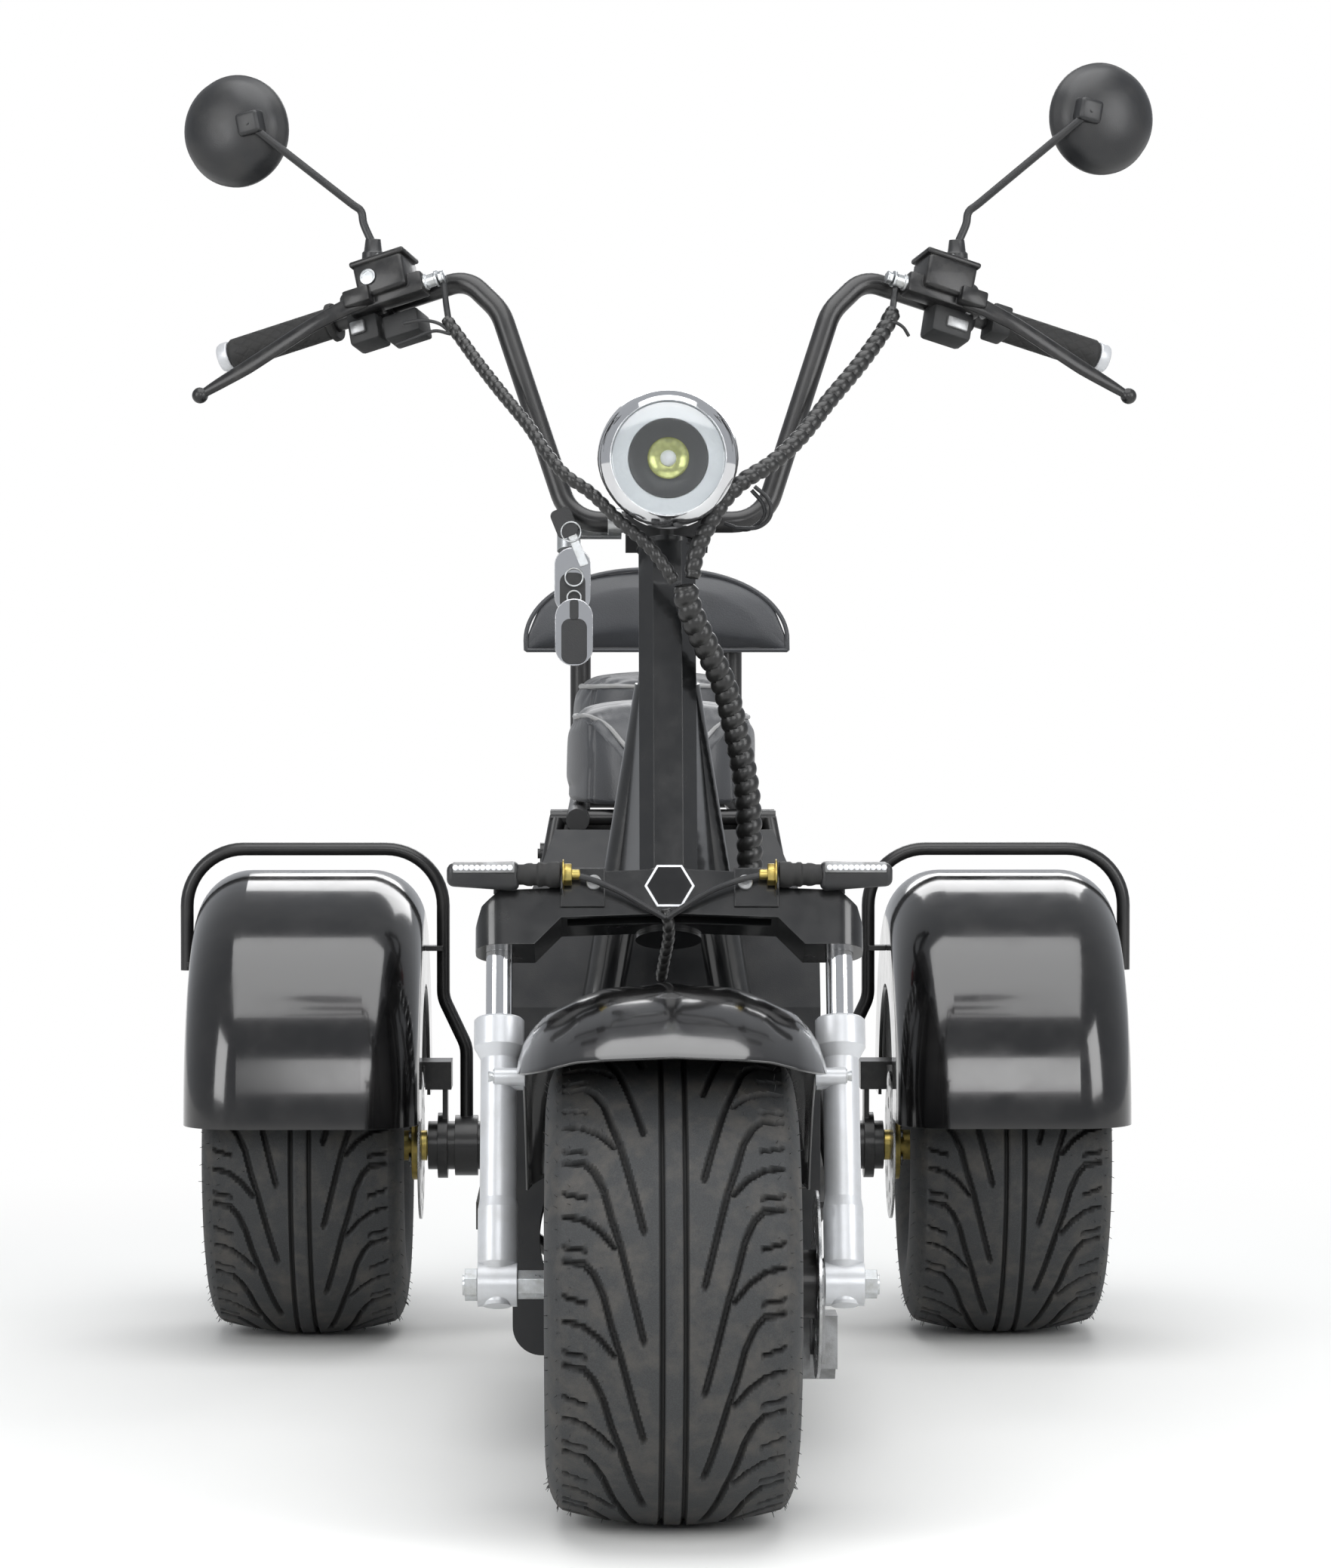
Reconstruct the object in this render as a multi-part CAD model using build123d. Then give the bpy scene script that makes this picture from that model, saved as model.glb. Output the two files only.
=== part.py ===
from build123d import *
import os
from math import cos, radians, sin, tan

# Electric tricycle, millimetres. The vehicle faces -Y, +X is the rider's left, +Z is up and the
# ground is z = 0.
# Stations are measured rearwards from the front axle and moved to the mid length at the end.

# Layout
wheelbase = 1300
track = 846
tyre_diameter = 457
tyre_width = 241
bead_diameter = 203.2
rake = 20
fork_offset = 45
leg_spacing = 333
fender_radius = 290
running_gap = 0.05
seat_gap = 0.3

tyre_radius = tyre_diameter / 2
front_station = -(wheelbase + fender_radius - tyre_radius) / 2

# Fork, measured along and across the steering axis from the axle's level
lowers_bottom = -21
lowers_top = 264
collar_height = 29
collar_radius = 24.5
lowers_radius = 17.8
boot_radius = 19.5
lug_radius = 15
stanchion_radius = 13.2
stem_radius = 14
crown_half_width = 190
crown_depth = 66
crown_front = -fork_offset - crown_depth / 2
crown_top = 408
crown_shoulder = 388
crown_end_bottom = 331
crown_arch_bottom = 358
neck_bottom = 425
neck_top = 772
neck_width = 57.5
neck_facet = 29
bar_height = 803
bar_radius = 11.1

# Axles, hubs and brakes
axle_radius = 10
disc_radius = 90
disc_thickness = 3
front_disc_x = 140
rear_disc_x = 288
half_shaft_radius = 12.5
housing_radius = 29.5
housing_half = 279
clamp_x = 232

# Frame
tube_radius = 21
rail_x = 105
rail_z = 138
shield_station = 326
shield_half = 158
shield_wall = 4
ground_clearance = 113
deck_z = 262
deck_half = 196
seat_rail_x = 92
seat_rail_radius = 12.5


def fork(shape):
    """Place a shape drawn about the steering axis into the vehicle."""
    foot_y = fork_offset * cos(radians(rake))
    foot_z = tyre_radius - fork_offset * sin(radians(rake))
    return Pos(0, foot_y, foot_z) * Rot(-rake, 0, 0) * shape


def both(shape):
    """A shape and its mirror image across the middle plane."""
    return Compound(children=[*shape.solids(), *mirror(shape, about=Plane.YZ).solids()])


def across(radius, x0, x1, y=0, z=0):
    """A round bar along X from x0 to x1."""
    return Pos((x0 + x1) / 2, y, z) * Rot(0, 90, 0) * Cylinder(radius, abs(x1 - x0))


def hexagon(across_flats, x0, x1, y=0, z=0):
    """A hexagon nut or head along X from x0 to x1."""
    face = RegularPolygon(across_flats / 2, 6, major_radius=False)
    return Pos(min(x0, x1), y, z) * Rot(0, 90, 0) * extrude(face, amount=abs(x1 - x0))


def upright(radius, z0, z1, x=0, y=0):
    """A round bar along Z from z0 to z1."""
    return Pos(x, y, (z0 + z1) / 2) * Cylinder(radius, z1 - z0)


def block(x0, x1, y0, y1, z0, z1):
    """A box given by its six faces."""
    return Pos((x0 + x1) / 2, (y0 + y1) / 2, (z0 + z1) / 2) * Box(x1 - x0, y1 - y0, z1 - z0)


def bar(radius, points, radii):
    """A round bar along straight runs with tangent arcs."""
    if radii:
        path = FilletPolyline(*points, radius=radii)
    else:
        path = Polyline(*points)
    start = Plane(origin=path @ 0, z_dir=path % 0)
    return sweep(start * Circle(radius), path=path)


def rounded_block(x0, x1, y0, y1, z0, z1, radius):
    """A box with every edge rounded."""
    solid = block(x0, x1, y0, y1, z0, z1)
    return fillet(solid.edges(), radius)


def spun(points):
    """A closed outline of x and radius, spun about the X axis."""
    outline = make_face(Polyline(*points, close=True))
    return revolve(outline, axis=Axis.X, revolution_arc=360)


# Tyre: width and radius of the carcass at the bead, the widest point, the shoulder and the tread edge
bead_half = 88
tread_half = 104
tread_drop = 14.5
shoulder_half = 113
shoulder_radius = 203
widest_radius = 160
sidewall = 9
tread_wall = 15
bead_radius = bead_diameter / 2
chafer_radius = bead_radius + 15


def tyre():
    """Carcass outline of axial place and radius, one side and its mirror image, spun about X."""
    widest = tyre_width / 2
    tread_radius = tyre_radius - tread_drop
    inner_half = tread_half - sidewall
    inner_radius = tread_radius - tread_wall
    bead_inner = bead_half - sidewall

    def side(sign):
        return [
            Line((sign * bead_half, bead_radius), (sign * bead_half, chafer_radius)),
            ThreePointArc(
                (sign * bead_half, chafer_radius), (sign * widest, widest_radius), (sign * shoulder_half, shoulder_radius)
            ),
            Line((sign * shoulder_half, shoulder_radius), (sign * tread_half, tread_radius)),
            ThreePointArc(
                (sign * inner_half, inner_radius), (sign * (widest - sidewall), widest_radius),
                (sign * bead_inner, chafer_radius),
            ),
            Line((sign * bead_inner, chafer_radius), (sign * bead_inner, bead_radius)),
            Line((sign * bead_inner, bead_radius), (sign * bead_half, bead_radius)),
        ]

    tread = ThreePointArc((-tread_half, tread_radius), (0, tyre_radius), (tread_half, tread_radius))
    lining = ThreePointArc((-inner_half, inner_radius), (0, tyre_radius - tread_wall), (inner_half, inner_radius))
    outline = make_face([*side(-1), tread, *side(1), lining])
    return revolve(outline, axis=Axis.X, revolution_arc=360)


# Cast rim: barrel, flanges, five spokes and a hub
rim_wall = 5
flange_height = 12
well_radius = 80
spoke_count = 5
spoke_width = 34
spoke_thickness = 22
hub_radius = 33


def rim(spoke_x, hub_from, hub_to, bore):
    seat = bead_radius - seat_gap
    lip = bead_half + seat_gap
    outer = [
        (-lip - rim_wall, seat + flange_height), (-lip, seat + flange_height), (-lip, seat), (-58, seat),
        (-42, well_radius), (42, well_radius), (58, seat), (lip, seat),
        (lip, seat + flange_height), (lip + rim_wall, seat + flange_height),
    ]
    inner = [
        (lip + rim_wall, seat - rim_wall), (56, seat - rim_wall), (40, well_radius - rim_wall),
        (-40, well_radius - rim_wall), (-56, seat - rim_wall), (-lip - rim_wall, seat - rim_wall),
    ]
    barrel = spun(outer + inner)
    reach = well_radius - rim_wall + 2 if abs(spoke_x) < 40 else seat - 2
    spoke_outline = make_face(Polyline(
        (-spoke_width / 2, 0), (-spoke_width / 2.6, reach), (spoke_width / 2.6, reach), (spoke_width / 2, 0),
        close=True,
    ))
    spoke = extrude(Plane.YZ * spoke_outline, amount=spoke_thickness / 2, both=True)
    spoke = Pos(spoke_x, 0, 0) * spoke
    wheel = barrel + across(hub_radius, hub_from, hub_to)
    for turn in range(spoke_count):
        wheel = wheel + Rot(turn * 360 / spoke_count, 0, 0) * spoke
    return wheel - across(bore, hub_from - 1, hub_to + 1)


# Brake disc: vented ring with a row of round holes
disc_hole_count = 12
disc_hole_radius = 5


def disc(centre_x, centre_bore):
    ring = across(disc_radius, centre_x - disc_thickness / 2, centre_x + disc_thickness / 2)
    ring = ring - across(centre_bore, centre_x - disc_thickness, centre_x + disc_thickness)
    for turn in range(disc_hole_count):
        hole = across(disc_hole_radius, centre_x - disc_thickness, centre_x + disc_thickness, y=disc_radius - 14)
        slot = across(disc_hole_radius * 1.6, centre_x - disc_thickness, centre_x + disc_thickness, y=disc_radius - 38)
        ring = ring - Rot(turn * 360 / disc_hole_count, 0, 0) * hole
        if turn % 2 == 0:
            ring = ring - Rot((turn + 0.5) * 360 / disc_hole_count, 0, 0) * slot
    return ring


def at_front(shape):
    return Pos(0, 0, tyre_radius) * shape


def at_rear(shape):
    return Pos(0, wheelbase, tyre_radius) * shape


front_tyre = at_front(tyre())
front_disc_boss = front_disc_x - disc_thickness / 2
front_rim = at_front(rim(0, -62, front_disc_boss, axle_radius + running_gap))
front_disc = at_front(disc(front_disc_x, 22))

hub_collar_radius = 18.5
hub_flange_radius = 42
hub_flange_thickness = 9
rear_nut_end = 554


def rear_hub():
    """Half shaft, zinc collar, disc flange and wheel nut, drawn for the +X side."""
    disc_outer = rear_disc_x + disc_thickness / 2
    shaft = across(half_shaft_radius, 172, rear_nut_end)
    collar = across(hub_collar_radius, housing_half + 1.5, 322)
    flange = across(hub_flange_radius, disc_outer, disc_outer + hub_flange_thickness)
    nut = hexagon(34, rear_nut_end - 18, rear_nut_end - 2)
    return shaft + collar + flange + nut


rear_half_track = track / 2
rear_rim_left = rim(71, -99, 107, half_shaft_radius + seat_gap)
rear_wheel_pieces = {
    "rear_tyre": Pos(rear_half_track, 0, 0) * tyre(),
    "rear_rim": Pos(rear_half_track, 0, 0) * rear_rim_left,
    "rear_hub": rear_hub(),
    "rear_disc": disc(rear_disc_x, hub_collar_radius + seat_gap),
}

# Front axle with its spacers and nuts
axle_half = 200
leg_x = leg_spacing / 2
lug_half = 19


def make_front_axle():
    shaft = across(axle_radius, -axle_half, axle_half)
    lug_inner = leg_x - lug_half - seat_gap
    lug_outer = leg_x + lug_half + seat_gap
    plain_spacer = hexagon(24, -lug_inner, -122) + across(16, -122, -63 - seat_gap)
    disc_spacer = across(14, front_disc_x + 2, lug_inner)
    nuts = hexagon(27, -lug_outer, -lug_outer - 12) + hexagon(24, lug_outer, lug_outer + 12)
    return at_front(shaft + plain_spacer + disc_spacer + nuts)


# Fork lowers: height up the leg and radius of the turned casting
lower_sections = [
    (lowers_bottom, lug_radius - 2),
    (lowers_bottom + 3, lug_radius),
    (12, lug_radius),
    (20, boot_radius),
    (74, boot_radius),
    (84, lowers_radius),
    (lowers_top - collar_height - 12, lowers_radius),
    (lowers_top - collar_height, collar_radius),
    (lowers_top - 2, collar_radius),
    (lowers_top, collar_radius - 2),
]
bore_floor = 40
guard_radius = 290
guard_half = 145
guard_drop = 27
guard_wall = 3
guard_front_angle = 119
guard_rear_angle = 18
guard_waist = 140.5
guard_boss_height = 202
guard_boss_drop = 14


def make_fork_lower():
    outline = make_face(Polyline(
        (0, lowers_bottom), *[(radius, height) for height, radius in lower_sections], (0, lowers_top), close=True
    ))
    casting = revolve(Plane.XZ * outline, axis=Axis.Z, revolution_arc=360)
    lug = across(lug_half + 2, -lug_half, lug_half)
    boss = across(9, guard_waist - leg_x + seat_gap, 4, y=-guard_boss_drop, z=guard_boss_height)
    casting = casting + lug + boss
    casting = casting - upright(stanchion_radius + seat_gap, bore_floor, lowers_top + 1)
    casting = casting - across(axle_radius + seat_gap, -lug_half - 1, lug_half + 1)
    return Pos(leg_x, -fork_offset, 0) * casting


# Fork crown, drawn from the front: half outline of width and height
def make_fork_crown():
    half_outline = [
        (0, crown_top), (88, crown_top - 4), (118, crown_shoulder), (166, crown_shoulder - 2),
        (184, crown_shoulder - 16), (crown_half_width, crown_shoulder - 34), (crown_half_width, crown_end_bottom),
        (132, crown_end_bottom), (106, crown_arch_bottom), (0, crown_arch_bottom + 4),
    ]
    half_face = make_face(Polyline(*half_outline, close=True))
    front_view = extrude(Plane.XZ * half_face, amount=crown_depth / 2, both=True)
    body = Pos(0, -fork_offset, 0) * (front_view + mirror(front_view, about=Plane.YZ))
    plan = extrude(RectangleRounded(crown_half_width * 2, crown_depth, 26), amount=crown_top + 20)
    body = body & (Pos(0, -fork_offset, 0) * plan)
    hollow = block(-100, 100, crown_front + 6, crown_front + crown_depth - 34, 0, crown_top - 12)
    body = body - hollow
    body = body + upright(33, crown_arch_bottom, crown_top)
    body = body + upright(stem_radius, crown_top - 10, bar_height - 14)
    for side in (-1, 1):
        body = body - upright(stanchion_radius + seat_gap, 0, crown_shoulder - 12, x=side * leg_x, y=-fork_offset)
    return body


# Front mudguard: an arched section spun about the axle, cut to its own plan


def make_front_mudguard():
    outer = ThreePointArc((-guard_half, guard_radius - guard_drop), (0, guard_radius), (guard_half, guard_radius - guard_drop))
    inner = ThreePointArc(
        (guard_half, guard_radius - guard_drop - guard_wall),
        (0, guard_radius - guard_wall),
        (-guard_half, guard_radius - guard_drop - guard_wall),
    )
    edge = guard_radius - guard_drop
    edges = [Line((side * guard_half, edge), (side * guard_half, edge - guard_wall)) for side in (-1, 1)]
    section = make_face([outer, inner, *edges])
    sweep_angle = guard_front_angle - guard_rear_angle
    shell = revolve(section, axis=Axis.X, revolution_arc=sweep_angle)
    shell = Rot(guard_rear_angle, 0, 0) * shell
    plan = make_face(Polyline(
        (-guard_half, -300), (-guard_half, -60), (-guard_waist, 20), (-guard_waist, 320),
        (guard_waist, 320), (guard_waist, 20), (guard_half, -60), (guard_half, -300), close=True,
    ))
    shell = at_front(shell & (Pos(0, 0, -50) * extrude(plan, amount=500)))
    boss_y = -fork_offset - guard_boss_drop
    for side in (-1, 1):
        inner, outer = sorted((side * (guard_waist - 4), side * guard_waist))
        stay = block(inner, outer, boss_y - 12, boss_y + 12, guard_boss_height - 12, guard_radius - guard_drop + 1)
        shell = shell + fork(stay)
    return shell


# Handlebar route, half, in fork axes
bar_rise = [
    (0, 0, bar_height), (98, 0, bar_height), (171, 0, 1037), (206, 6, 1076), (456, 110, 1035),
]
bar_bends = [42, 60, 34]


def make_handlebar():
    mirrored = [(-x, y, z) for x, y, z in reversed(bar_rise[1:])]
    return bar(bar_radius, mirrored + bar_rise[1:], list(reversed(bar_bends)) + bar_bends)


def bar_frame():
    """Plane at the start of the left outer run: X forwards, Y down and Z outwards along it."""
    inner = Vector(*bar_rise[3])
    outer = Vector(*bar_rise[4])
    return Plane(origin=inner, z_dir=outer - inner, x_dir=(0, -1, 0))


bar_outer_run = (Vector(*bar_rise[4]) - Vector(*bar_rise[3])).length
grip_length = 122
grip_radius = 16.5


def on_bar(shape):
    """Place a shape drawn along Z at the outer run of the handlebar, Z outwards."""
    return bar_frame().location * shape


def make_grip():
    start = bar_outer_run - grip_length
    rubber = Pos(0, 0, start) * Cylinder(grip_radius, grip_length, align=(Align.CENTER, Align.CENTER, Align.MIN))
    flange = Pos(0, 0, start) * Cylinder(grip_radius + 4, 5, align=(Align.CENTER, Align.CENTER, Align.MIN))
    cap = Pos(0, 0, bar_outer_run + 0.5) * Cylinder(grip_radius, 6, align=(Align.CENTER, Align.CENTER, Align.MIN))
    rubber = rubber - Pos(0, 0, start - 1) * Cylinder(
        bar_radius + seat_gap, grip_length + 1.2, align=(Align.CENTER, Align.CENTER, Align.MIN)
    )
    flange = flange - Pos(0, 0, start - 1) * Cylinder(
        bar_radius + seat_gap, 8, align=(Align.CENTER, Align.CENTER, Align.MIN)
    )
    return on_bar(rubber + flange + cap)


control_at = 108


def make_master_cylinder():
    """Clamp, reservoir and cylinder on the bar."""
    clamp = Pos(0, 0, control_at) * Cylinder(17, 22)
    body = Pos(28, 0, control_at - 16) * Box(26, 24, 62)
    reservoir = Pos(30, -22, control_at - 18) * Box(40, 30, 58)
    solid = clamp + body + reservoir
    return on_bar(solid - Pos(0, 0, control_at) * Cylinder(bar_radius + seat_gap, 90))


def make_lever():
    """Brake lever with a ball end, in front of the grip."""
    points = [(46, 0, control_at + 14), (52, 0, control_at + 60), (46, 0, control_at + 120), (44, 0, control_at + 172)]
    blade = bar(4.5, points, [90, 90])
    ball = Pos(*points[-1]) * Sphere(8.5)
    return on_bar(blade + ball)


def make_switch_pod():
    pod = Pos(-6, 6, control_at + 33) * Box(38, 50, 20)
    return on_bar(pod - Pos(0, 0, control_at + 33) * Cylinder(bar_radius + seat_gap, 60))


# Mirrors: height and place of the domed backs, in vehicle stations
mirror_radius = 58
mirror_x = 446
mirror_z = 1374


def make_mirror():
    dome = Sphere(92) & (Pos(0, 0, 92 - 22 + 50) * Box(240, 240, 100))
    rim_ring = Pos(0, 0, 66) * Cylinder(mirror_radius, 10)
    head = (dome & (Pos(0, 0, 60) * Cylinder(mirror_radius, 100))) + rim_ring
    head = Pos(mirror_x, 470, mirror_z) * Rot(90, 0, 0) * Pos(0, 0, -66) * head
    boot_place = Pos(30, -37 - seat_gap, control_at - 22)
    boot = Cylinder(11, 22, align=(Align.CENTER, Align.CENTER, Align.MIN))
    boot = fork(on_bar(boot_place * Rot(90, 0, 0) * boot))
    foot = fork(bar_frame().location * boot_place * Pos(0, -12, 0)).position
    bend = (foot.X + 4, foot.Y - 2, foot.Z + 36)
    stem = bar(4, [(mirror_x - 6, 447, mirror_z - 6), bend, (foot.X, foot.Y, foot.Z)], [24])
    return head + stem + boot


def make_bar_clamp():
    lower = Pos(0, 0, bar_height - 13) * Box(84, 46, 24)
    socket = upright(24, neck_top + 6, bar_height - 2)
    cap = Pos(0, 0, bar_height + 10) * Box(84, 44, 22)
    solid = lower + socket + cap
    solid = solid - across(bar_radius + seat_gap, -60, 60, z=bar_height)
    return solid - upright(stem_radius + seat_gap, 0, bar_height - 14 + seat_gap)


headlight_radius = 71
headlight_z = 866
headlight_y = -108


def make_headlight():
    shell = Sphere(headlight_radius) & Pos(0, 20, 0) * Box(200, 130, 200)
    shell = shell - (Pos(0, -38, 0) * Rot(90, 0, 0) * Cylinder(61, 20))
    arm = block(-12, 12, 40, 86, -60, -44)
    return Pos(0, headlight_y, headlight_z) * (shell + arm)


def make_headlight_lens():
    lens = Pos(0, -38, 0) * Rot(90, 0, 0) * Cylinder(60.5, 12)
    return Pos(0, headlight_y, headlight_z) * lens


# Front signals
def make_front_signal():
    stalk = across(8, 92, 128)
    body = rounded_block(128, 216, -11, 11, -9, 11, 6)
    nut = hexagon(18, 84, 92)
    bolt = across(5, 74, 92)
    ear = block(92, 95, -10, 14 - seat_gap, -16, 12)
    return Pos(0, crown_front - 14, crown_top + 6) * (stalk + body + nut + bolt + ear)


def make_signal_plate():
    return block(66, 95, crown_front - 3, crown_front - seat_gap, crown_top - 30, crown_top + 18)


def make_front_caliper():
    disc_face = front_disc_x + disc_thickness / 2
    body = Pos(front_disc_x, 62, -62) * Box(44, 44, 52)
    body = body - Pos(front_disc_x, 62, -62) * Box(9, 60, 60)
    bridge = Pos(front_disc_x, 84, -84) * Rot(45, 0, 0) * Box(44, 20, 40)
    carrier = block(disc_face + 2.3, leg_x - lug_half - seat_gap, -18, 72, -74, 18)
    carrier = carrier - across(14 + seat_gap, 100, 200)
    return at_front(body + bridge + carrier)


# Main frame: octagonal neck, twin tubes down and under, pivot for the swing arm
tube_station = 296
upright_station = 1000
pivot_station = 1012
pivot_z = 225
pivot_radius = 10
cross_radius = 12
seat_rail_z = 655
rail_top_z = seat_rail_z + seat_rail_radius
deck_thickness = 6
outrigger_x = 178


def main_tube(side, radius):
    """One of the twin tubes, from the neck down and along under the deck to the seat."""
    points = [
        (side * 12, 268, 800), (side * 62, tube_station, 500), (side * rail_x, tube_station, 290),
        (side * rail_x, 372, rail_z), (side * rail_x, 905, rail_z), (side * rail_x, upright_station, 330),
        (side * rail_x, upright_station, seat_rail_z - seat_rail_radius - seat_gap),
    ]
    return bar(radius, points, [300, 140, 85, 85, 140])


def gusset_plate(side):
    """Flared plate from the side of the neck to the down tube."""
    corners = [(side * 26, 262, 820), (side * 26, 190, 612), (side * 60, tube_station, 560)]
    face = make_face(Polyline(*corners, close=True))
    return extrude(face, amount=2, both=True)


def outrigger(side, station):
    """Bent arm from the rail out to the underside of the deck."""
    points = [(side * rail_x, station, rail_z + 8), (side * outrigger_x, station, 196),
              (side * outrigger_x, station, deck_z - seat_gap)]
    return bar(9, points, [22])


def make_main_frame():
    chamfer_size = (neck_width - neck_facet) / 2
    section = chamfer(Rectangle(neck_width, neck_width).vertices(), chamfer_size)
    column = Pos(0, 0, neck_bottom) * extrude(section, amount=neck_top - neck_bottom)
    column = column + upright(31, neck_bottom - 12, neck_bottom) + upright(31, neck_top, neck_top + 5)
    frame = fork(column)
    for side in (-1, 1):
        frame = frame + main_tube(side, tube_radius) + gusset_plate(side)
        for station in (430, 820):
            frame = frame + outrigger(side, station)
        for tab_z in (360, 440):
            frame = frame + block(side * 84 - 9, side * 84 + 9, tube_station, shield_station - shield_wall - seat_gap,
                                  tab_z - 4, tab_z + 4)
        lug_x = side * rail_x
        frame = frame + block(lug_x - 5, lug_x + 5, 940, pivot_station + 24, pivot_z - 26, pivot_z + 26)
    for station in (420, 860):
        frame = frame + across(cross_radius, -rail_x, rail_x, y=station, z=rail_z - 12)
    frame = frame + across(pivot_radius, -172, 172, y=pivot_station, z=pivot_z)
    return frame - fork(upright(stem_radius + running_gap, 0, 2000))


# Front shield: bent sheet with rounded lower corners, open where the twin tubes pass
shield_fold_z = 470
shield_shoulder_z = 540
shield_top_half = 110


def make_shield():
    side_profile = [
        (shield_station, ground_clearance), (shield_station, shield_fold_z), (shield_station + 38, 556),
        (shield_station + 188, 642),
    ]
    inner_profile = [
        (shield_station + 186, 646), (shield_station + 35, 559), (shield_station - shield_wall, 471),
        (shield_station - shield_wall, ground_clearance),
    ]
    sheet = extrude(Plane.YZ * make_face(Polyline(*side_profile, *inner_profile, close=True)),
                    amount=shield_half, both=True)
    front = make_face(Polyline(
        (-shield_half, ground_clearance), (shield_half, ground_clearance), (shield_half, shield_shoulder_z),
        (shield_top_half, 660), (-shield_top_half, 660), (-shield_half, shield_shoulder_z), close=True,
    ))
    outline = extrude(Plane.XZ * front, amount=-1000)
    outline = fillet(outline.edges().filter_by(Axis.Y).sort_by(Axis.Z)[:2], 30)
    sheet = sheet & outline
    for side in (-1, 1):
        sheet = sheet - main_tube(side, tube_radius + 4)
    return sheet


def make_battery_case():
    floor = rail_z + seat_gap
    return rounded_block(-80, 80, 352, 882, floor, deck_z - seat_gap, 10)


def make_footboards():
    plate = block(-deck_half, deck_half, 345, 900, deck_z, deck_z + deck_thickness)
    for side in (-1, 1):
        edge = side * (deck_half - 2)
        plate = plate + block(edge - 2, edge + 2, 345, 900, deck_z - 22, deck_z + 1)
    return plate


shell_floor = deck_z + deck_thickness + seat_gap
shell_top = seat_rail_z - seat_rail_radius - seat_gap


def make_body_shell():
    side_view = make_face(Polyline(
        (338, shell_floor), (338, 466), (378, 552), (526, shell_top), (935, shell_top), (935, shell_floor), close=True,
    ))
    solid = extrude(Plane.YZ * side_view, amount=118, both=True)
    front_view = make_face(Polyline(
        (-118, shell_floor), (118, shell_floor), (112, 470), (100, shell_top), (-100, shell_top), (-112, 470), close=True,
    ))
    solid = solid & extrude(Plane.XZ * front_view, amount=-1200)
    high_edges = solid.edges().filter_by(lambda edge: edge.center().Z > shell_floor + 1)
    return fillet(high_edges, 14)


stay_foot_z = deck_z + deck_thickness + seat_gap
backrest_front = 1217
backrest_thickness = 45
backrest_post_station = backrest_front + backrest_thickness + seat_rail_radius + seat_gap


def make_seat_frame():
    rail = bar(seat_rail_radius, [
        (seat_rail_x, 540, seat_rail_z), (seat_rail_x, 1238, seat_rail_z),
        (seat_rail_x, backrest_post_station, 720), (seat_rail_x, backrest_post_station, 880),
    ], [50, 50])
    frame = rail
    for top, foot in ((612, 560), (650, 690)):
        stay = bar(9, [(seat_rail_x + 22, top, seat_rail_z), (188, foot, deck_z)], [])
        frame = frame + (stay & block(0, 300, 300, 1000, stay_foot_z, seat_rail_z + 20))
    lug = block(seat_rail_x - 6, seat_rail_x + 6, 1068, 1102, shock_top_z - 16, seat_rail_z)
    pin = across(shock_pin_radius, seat_rail_x, shock_x + 12, y=shock_top_station, z=shock_top_z)
    frame = frame + lug + pin
    frame = frame + mirror(frame, about=Plane.YZ)
    for station, half in ((612, 122), (650, 122), (1170, seat_rail_x)):
        frame = frame + across(8, -half, half, y=station, z=seat_rail_z)
    return frame + block(-30, 30, 1176, 1182, 590, seat_rail_z)


def make_saddle():
    low = Pos(0, 760, rail_top_z + seat_gap) * RectangleRounded(228, 340, 90)
    high = Pos(0, 770, 766) * RectangleRounded(210, 320, 90)
    return loft([low, high])


def make_pillion():
    low = Pos(0, 1072, rail_top_z + seat_gap) * RectangleRounded(222, 270, 60)
    high = Pos(0, 1072, 805) * RectangleRounded(206, 250, 60)
    return loft([low, high])


def make_backrest():
    outline = make_face([
        Line((-150, 838), (150, 838)), ThreePointArc((150, 838), (0, 935), (-150, 838)),
    ])
    return Pos(0, backrest_front + backrest_thickness, 0) * extrude(Plane.XZ * outline, amount=backrest_thickness)


# Rear axle, motor block, swing arm and shocks
motor_radius = 98
motor_half = 119
bell_radius = 60
bell_half = 130
arm_x = 150
shock_x = 130
shock_pin_radius = 6
shock_top_station = 1085
shock_top_z = 596
shock_foot_station = 1225
shock_foot_z = 264


def make_axle_housing():
    housing = across(housing_radius, -housing_half, housing_half) - across(90, -motor_half - 1, motor_half + 1)
    for side in (-1, 1):
        housing = housing - across(half_shaft_radius + running_gap, side * 168, side * (housing_half + 5))
    return at_rear(housing)


def make_drive_motor():
    body = across(motor_radius, -motor_half, motor_half) + across(bell_radius, -bell_half, bell_half)
    for side in (-1, 1):
        body = body - across(housing_radius + seat_gap, side * (motor_half + 0.7), side * (bell_half + 5))
    return at_rear(body)


def make_swing_arm():
    bush = across(19, arm_x - 22, arm_x + 22, y=pivot_station, z=pivot_z)
    beam = bar(14, [(arm_x, pivot_station, pivot_z), (arm_x, wheelbase, tyre_radius)], [])
    ring = at_rear(across(40, arm_x - 16, arm_x + 16))
    lug = block(arm_x - 6, arm_x + 6, shock_foot_station - 15, shock_foot_station + 15, 225, shock_foot_z + 12)
    pin = across(shock_pin_radius, motor_half + 1.5, arm_x, y=shock_foot_station, z=shock_foot_z)
    arm = bush + beam + ring + lug + pin
    arm = arm - across(pivot_radius + seat_gap, arm_x - 30, arm_x + 30, y=pivot_station, z=pivot_z)
    arm = arm - at_rear(across(housing_radius + seat_gap, arm_x - 20, arm_x + 20))
    return both(arm)


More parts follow.
